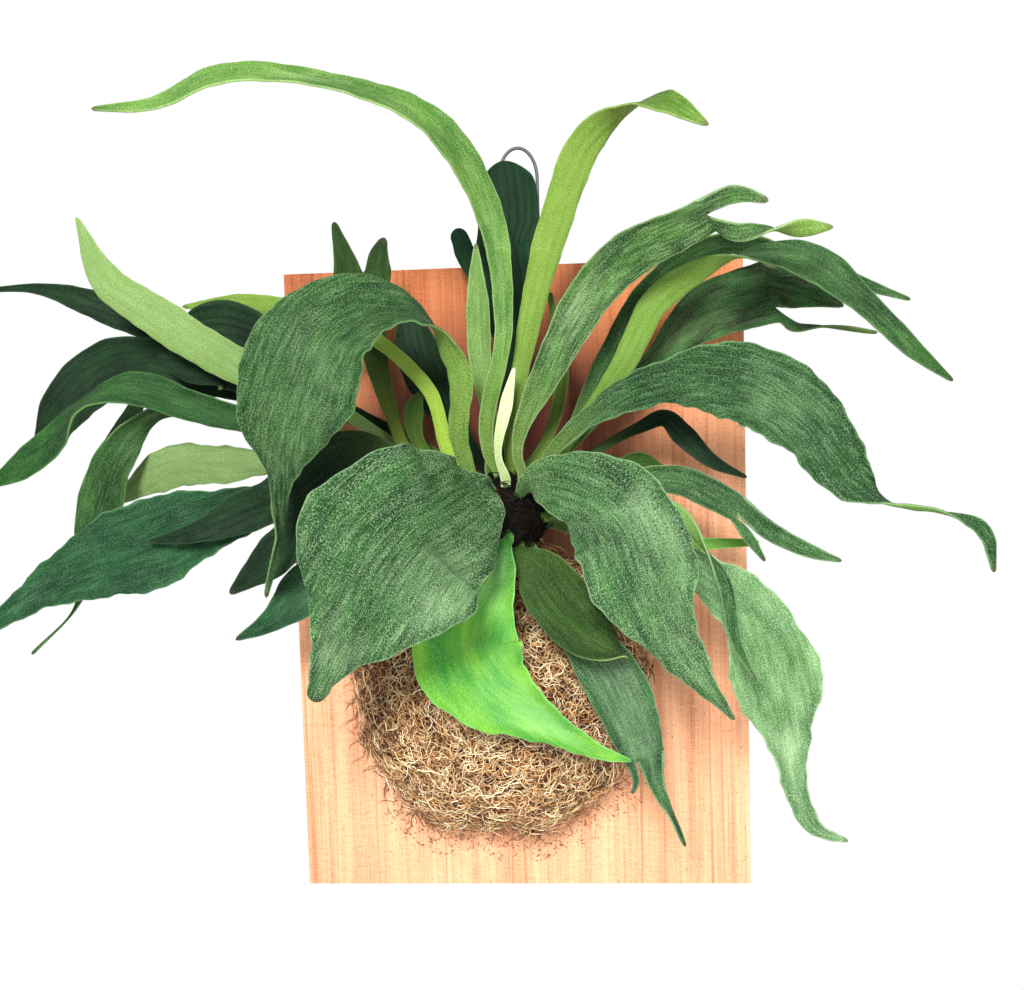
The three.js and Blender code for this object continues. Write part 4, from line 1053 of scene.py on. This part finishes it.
def board_material():
    """Sawn cedar: fine uneven grain along the board with thin dark lines, short level saw marks, small
    dark specks and nicks, painted shade that makes it darker and redder towards the top, and a painted
    shadow on its front behind the crown."""
    material, nodes, shader = new_material("sawn_cedar")
    place = nodes.place()
    x, y, z = nodes.add("ShaderNodeSeparateXYZ", None, Vector=place).outputs

    def marks(kind):
        """A noise for one kind of mark, stretched along the board."""
        across, upright, detail, roughness = WOOD[kind]
        return nodes.noise(nodes.stretch(place, across, across, upright), 1.0, detail, roughness)

    lines, fuzz, saw = marks("lines"), marks("fuzz"), marks("saw")
    value = marks("bands") * 0.3 + lines * 0.32 + fuzz * 0.26 + saw * 0.12
    color = nodes.ramp(value, *WOOD_COLORS)
    color = nodes.mix(nodes.span(marks("dark_lines"), 0.6, 0.68) * 0.6, color, LINE)
    # Painted shade: the board's top darker and redder, with a soft uneven edge.
    high = nodes.span(z, BOARD_HIGH[2] - 0.2, BOARD_HIGH[2] - 0.03)
    cloud = nodes.span(marks("clouds"), 0.35, 0.65, -0.12, 0.12)
    color = nodes.mix(nodes.math("ADD", high, cloud, clamp=True), color, TOP_SHADE, "MULTIPLY")
    # Painted shadow of the crown and fronds on the board's front: darkest just behind the crown and gone by
    # the outer distance.
    middle = nodes.join(ORIGIN[0], 0.0, ORIGIN[2] + SHADOW_PATCH["height"])
    away = nodes.add("ShaderNodeVectorMath", {"operation": "DISTANCE"}, i0=nodes.join(x, 0.0, z), i1=middle)
    in_front = nodes.span(y, BOARD_LOW[1] + 0.008, BOARD_LOW[1] + 0.001)
    crown_shadow = nodes.span(away.outputs["Value"], SHADOW_PATCH["outer"], SHADOW_PATCH["inner"]) * in_front
    color = nodes.mix(crown_shadow * SHADOW_PATCH["share"], color, SHADOW_BROWN, "MULTIPLY")
    specks = nodes.span(marks("specks"), 0.69, 0.75)
    nicks = nodes.span(marks("nicks"), 0.78, 0.82)
    color = nodes.mix(nodes.math("MAXIMUM", specks, nicks) * 0.6, color, SPECK)
    rough = nodes.span(fuzz, 0.3, 0.7, 0.7, 0.88)
    finish(nodes, shader, color, rough, fuzz + saw + lines * 0.6, 0.0005)
    return material


def finish_board():
    """Gives the board's own solid its material."""
    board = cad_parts["board"]
    board.data.materials.clear()
    board.data.materials.append(board_material())


def make_wire(material):
    """The loop as a round tube: up one leg, over half an ellipse, and down the other leg."""
    radius, half, arch = WIRE["radius"], WIRE["half_span"], WIRE["arch"]
    sides, rows = WIRE_MESH["sides"], WIRE_MESH["leg_rows"]
    bend_z = BOARD_TOP + WIRE["rise"] - radius - arch
    foot_z = BOARD_TOP - WIRE["depth"]
    leg = np.linspace(foot_z, bend_z, rows, endpoint=False)
    turn = np.linspace(math.pi, 0, WIRE_MESH["arch_rows"])
    x = np.concatenate([np.full(rows, -half), half * np.cos(turn), np.full(rows, half)])
    z = np.concatenate([leg, bend_z + arch * np.sin(turn), leg[::-1]])
    middle = np.stack([WIRE["offset"] + x, np.full_like(x, -BOARD_THICK / 2), z], axis=1)
    along = unit(np.gradient(middle, axis=0))
    across = np.cross(along, TOWARDS_WALL)
    spin = round_angles(sides)
    ring = np.cos(spin)[None, :, None] * across[:, None] + np.sin(spin)[None, :, None] * TOWARDS_WALL
    points = (middle[:, None] + radius * ring).reshape(-1, 3)
    piece = new_piece("wire_loop", to_part(np.vstack([points, middle[:1], middle[-1:]])),
                      *turned_over(*tube_faces(len(middle), sides)))
    dress(piece, material, "wire", "hanger_wire")


# ---------------------------------------------------------------- stage, light and camera
CAMERA = {"place": (35.6, -647.6, 96.7), "turn": (-3.81, 1.63, 3.39), "lens": 35.156, "sensor": 36.0}
# The room in metres in the part's frame, and how bright the backdrop is to the plant and to the camera.
ROOM = {"floor": -0.85, "wall": 0.4, "reach": 4.0, "floor_white": 0.95, "floor_rough": 0.9}
BACKDROP = {"shines": 0.42, "looks": 1.0}
LIT_PLACE = (0.0, -0.08, -0.25)
LIGHTS = {"key": {"place": (-0.15, -1.55, 0.5), "size": 0.45, "power": 46.0},
          "fill": {"place": (0.9, -1.2, -0.1), "size": 0.9, "power": 9.0}}


def make_camera():
    """A level camera turned about its own three axes, in degrees, at a place in the board's frame."""
    data = bpy.data.cameras.new("camera")
    data.lens = CAMERA["lens"]
    data.sensor_width = CAMERA["sensor"]
    data.sensor_fit = "HORIZONTAL"
    data.clip_start, data.clip_end = 0.01, 50.0
    camera = add_object("camera", data)
    x, y, z = (math.radians(angle) for angle in CAMERA["turn"])
    aim = Matrix.Rotation(z, 3, "Z") @ Matrix.Rotation(y, 3, "Y") @ Matrix.Rotation(x, 3, "X")
    level = Matrix.Rotation(math.radians(90), 3, "X")
    camera.matrix_world = Matrix.Translation(to_part(np.array(CAMERA["place"]))) @ (aim @ level).to_4x4()
    bpy.context.scene.camera = camera


def make_floor():
    """The pale floor, a flat square-cornered sheet under the plant."""
    low, back, reach = ROOM["floor"], ROOM["wall"], ROOM["reach"]
    corners = [(-reach, -reach, low), (reach, -reach, low), (reach, back, low), (-reach, back, low)]
    piece = new_piece("pale_floor", np.array(corners), [[0, 1, 2, 3]], smooth=False)
    material, nodes, shader = new_material("pale_floor", Roughness=ROOM["floor_rough"])
    nodes.put(shader, "Base Color", (ROOM["floor_white"],) * 3 + (1.0,))
    piece.data.materials.append(material)


def make_light(name, light):
    """A round soft lamp that looks at the plant."""
    data = bpy.data.lights.new(name, "AREA")
    data.shape = "DISK"
    data.size = light["size"]
    data.energy = light["power"]
    lamp = add_object(name, data)
    lamp.location = light["place"]
    lamp.rotation_mode = "QUATERNION"
    lamp.rotation_quaternion = (Vector(LIT_PLACE) - Vector(light["place"])).to_track_quat("-Z", "Y")


def make_white_room():
    """A white backdrop all round, which gives only soft weak light to the plant itself."""
    world = bpy.data.worlds.new("white_room")
    world.use_nodes = True
    nodes = Nodes(world.node_tree)
    seen = nodes.value(nodes.add("ShaderNodeLightPath"), "Is Camera Ray")
    backdrop = world.node_tree.nodes["Background"]
    nodes.put(backdrop, "Color", (1.0, 1.0, 1.0, 1.0))
    nodes.put(backdrop, "Strength", seen * (BACKDROP["looks"] - BACKDROP["shines"]) + BACKDROP["shines"])
    bpy.context.scene.world = world


# ---------------------------------------------------------------- assembly
MOSS_COLORS = ((0.0, (62, 36, 22)), (0.24, (142, 92, 56)), (0.52, (214, 162, 102)), (1.0, (255, 240, 198)))
ROOT_COLORS = ((0.0, (10, 9, 7)), (0.5, (28, 22, 16)), (1.0, (78, 60, 42)))
BARK_COLORS = ((0.3, (8, 7, 6)), (0.55, (26, 21, 15)), (0.75, (58, 45, 32)))
WIRE_COLORS = ((0.35, (84, 85, 85)), (0.65, (106, 107, 107)))


def make_plant():
    """The fronds, and then the moss and the crown, which share one row of random numbers."""
    make_fronds()
    rng = np.random.default_rng(MOSS_SEED)
    fibre = fibre_material("dry_moss_fibre", MOSS_COLORS, 0.5, Roughness=0.75)
    make_moss_bed(moss_bed_material(), rng)
    for name, fibres in MOSS_FIBRES.items():
        make_moss_fibres(name, fibres, fibre, rng)
    for name, loose in LOOSE_MOSS.items():
        make_loose_moss(name, loose, fibre, rng)
    bark = grained_material("dry_rootstock", (260.0, 4.0, 0.65, 0.8), BARK_COLORS, (0.98, 0.85), 0.0015,
                            Specular_IOR_Level=0.1)
    root = fibre_material("dark_root_fibre", ROOT_COLORS, Roughness=0.95, Specular_IOR_Level=0.1)
    make_crown(bark, root, rng)


make_camera()
make_plant()
finish_board()
make_wire(grained_material("galvanised_wire", (500.0, 3.0), WIRE_COLORS, (0.55, 0.7), Metallic=1.0))
make_floor()
make_white_room()
bpy.context.scene.view_settings.view_transform = "Standard"
for name, light in LIGHTS.items():
    make_light(name, light)
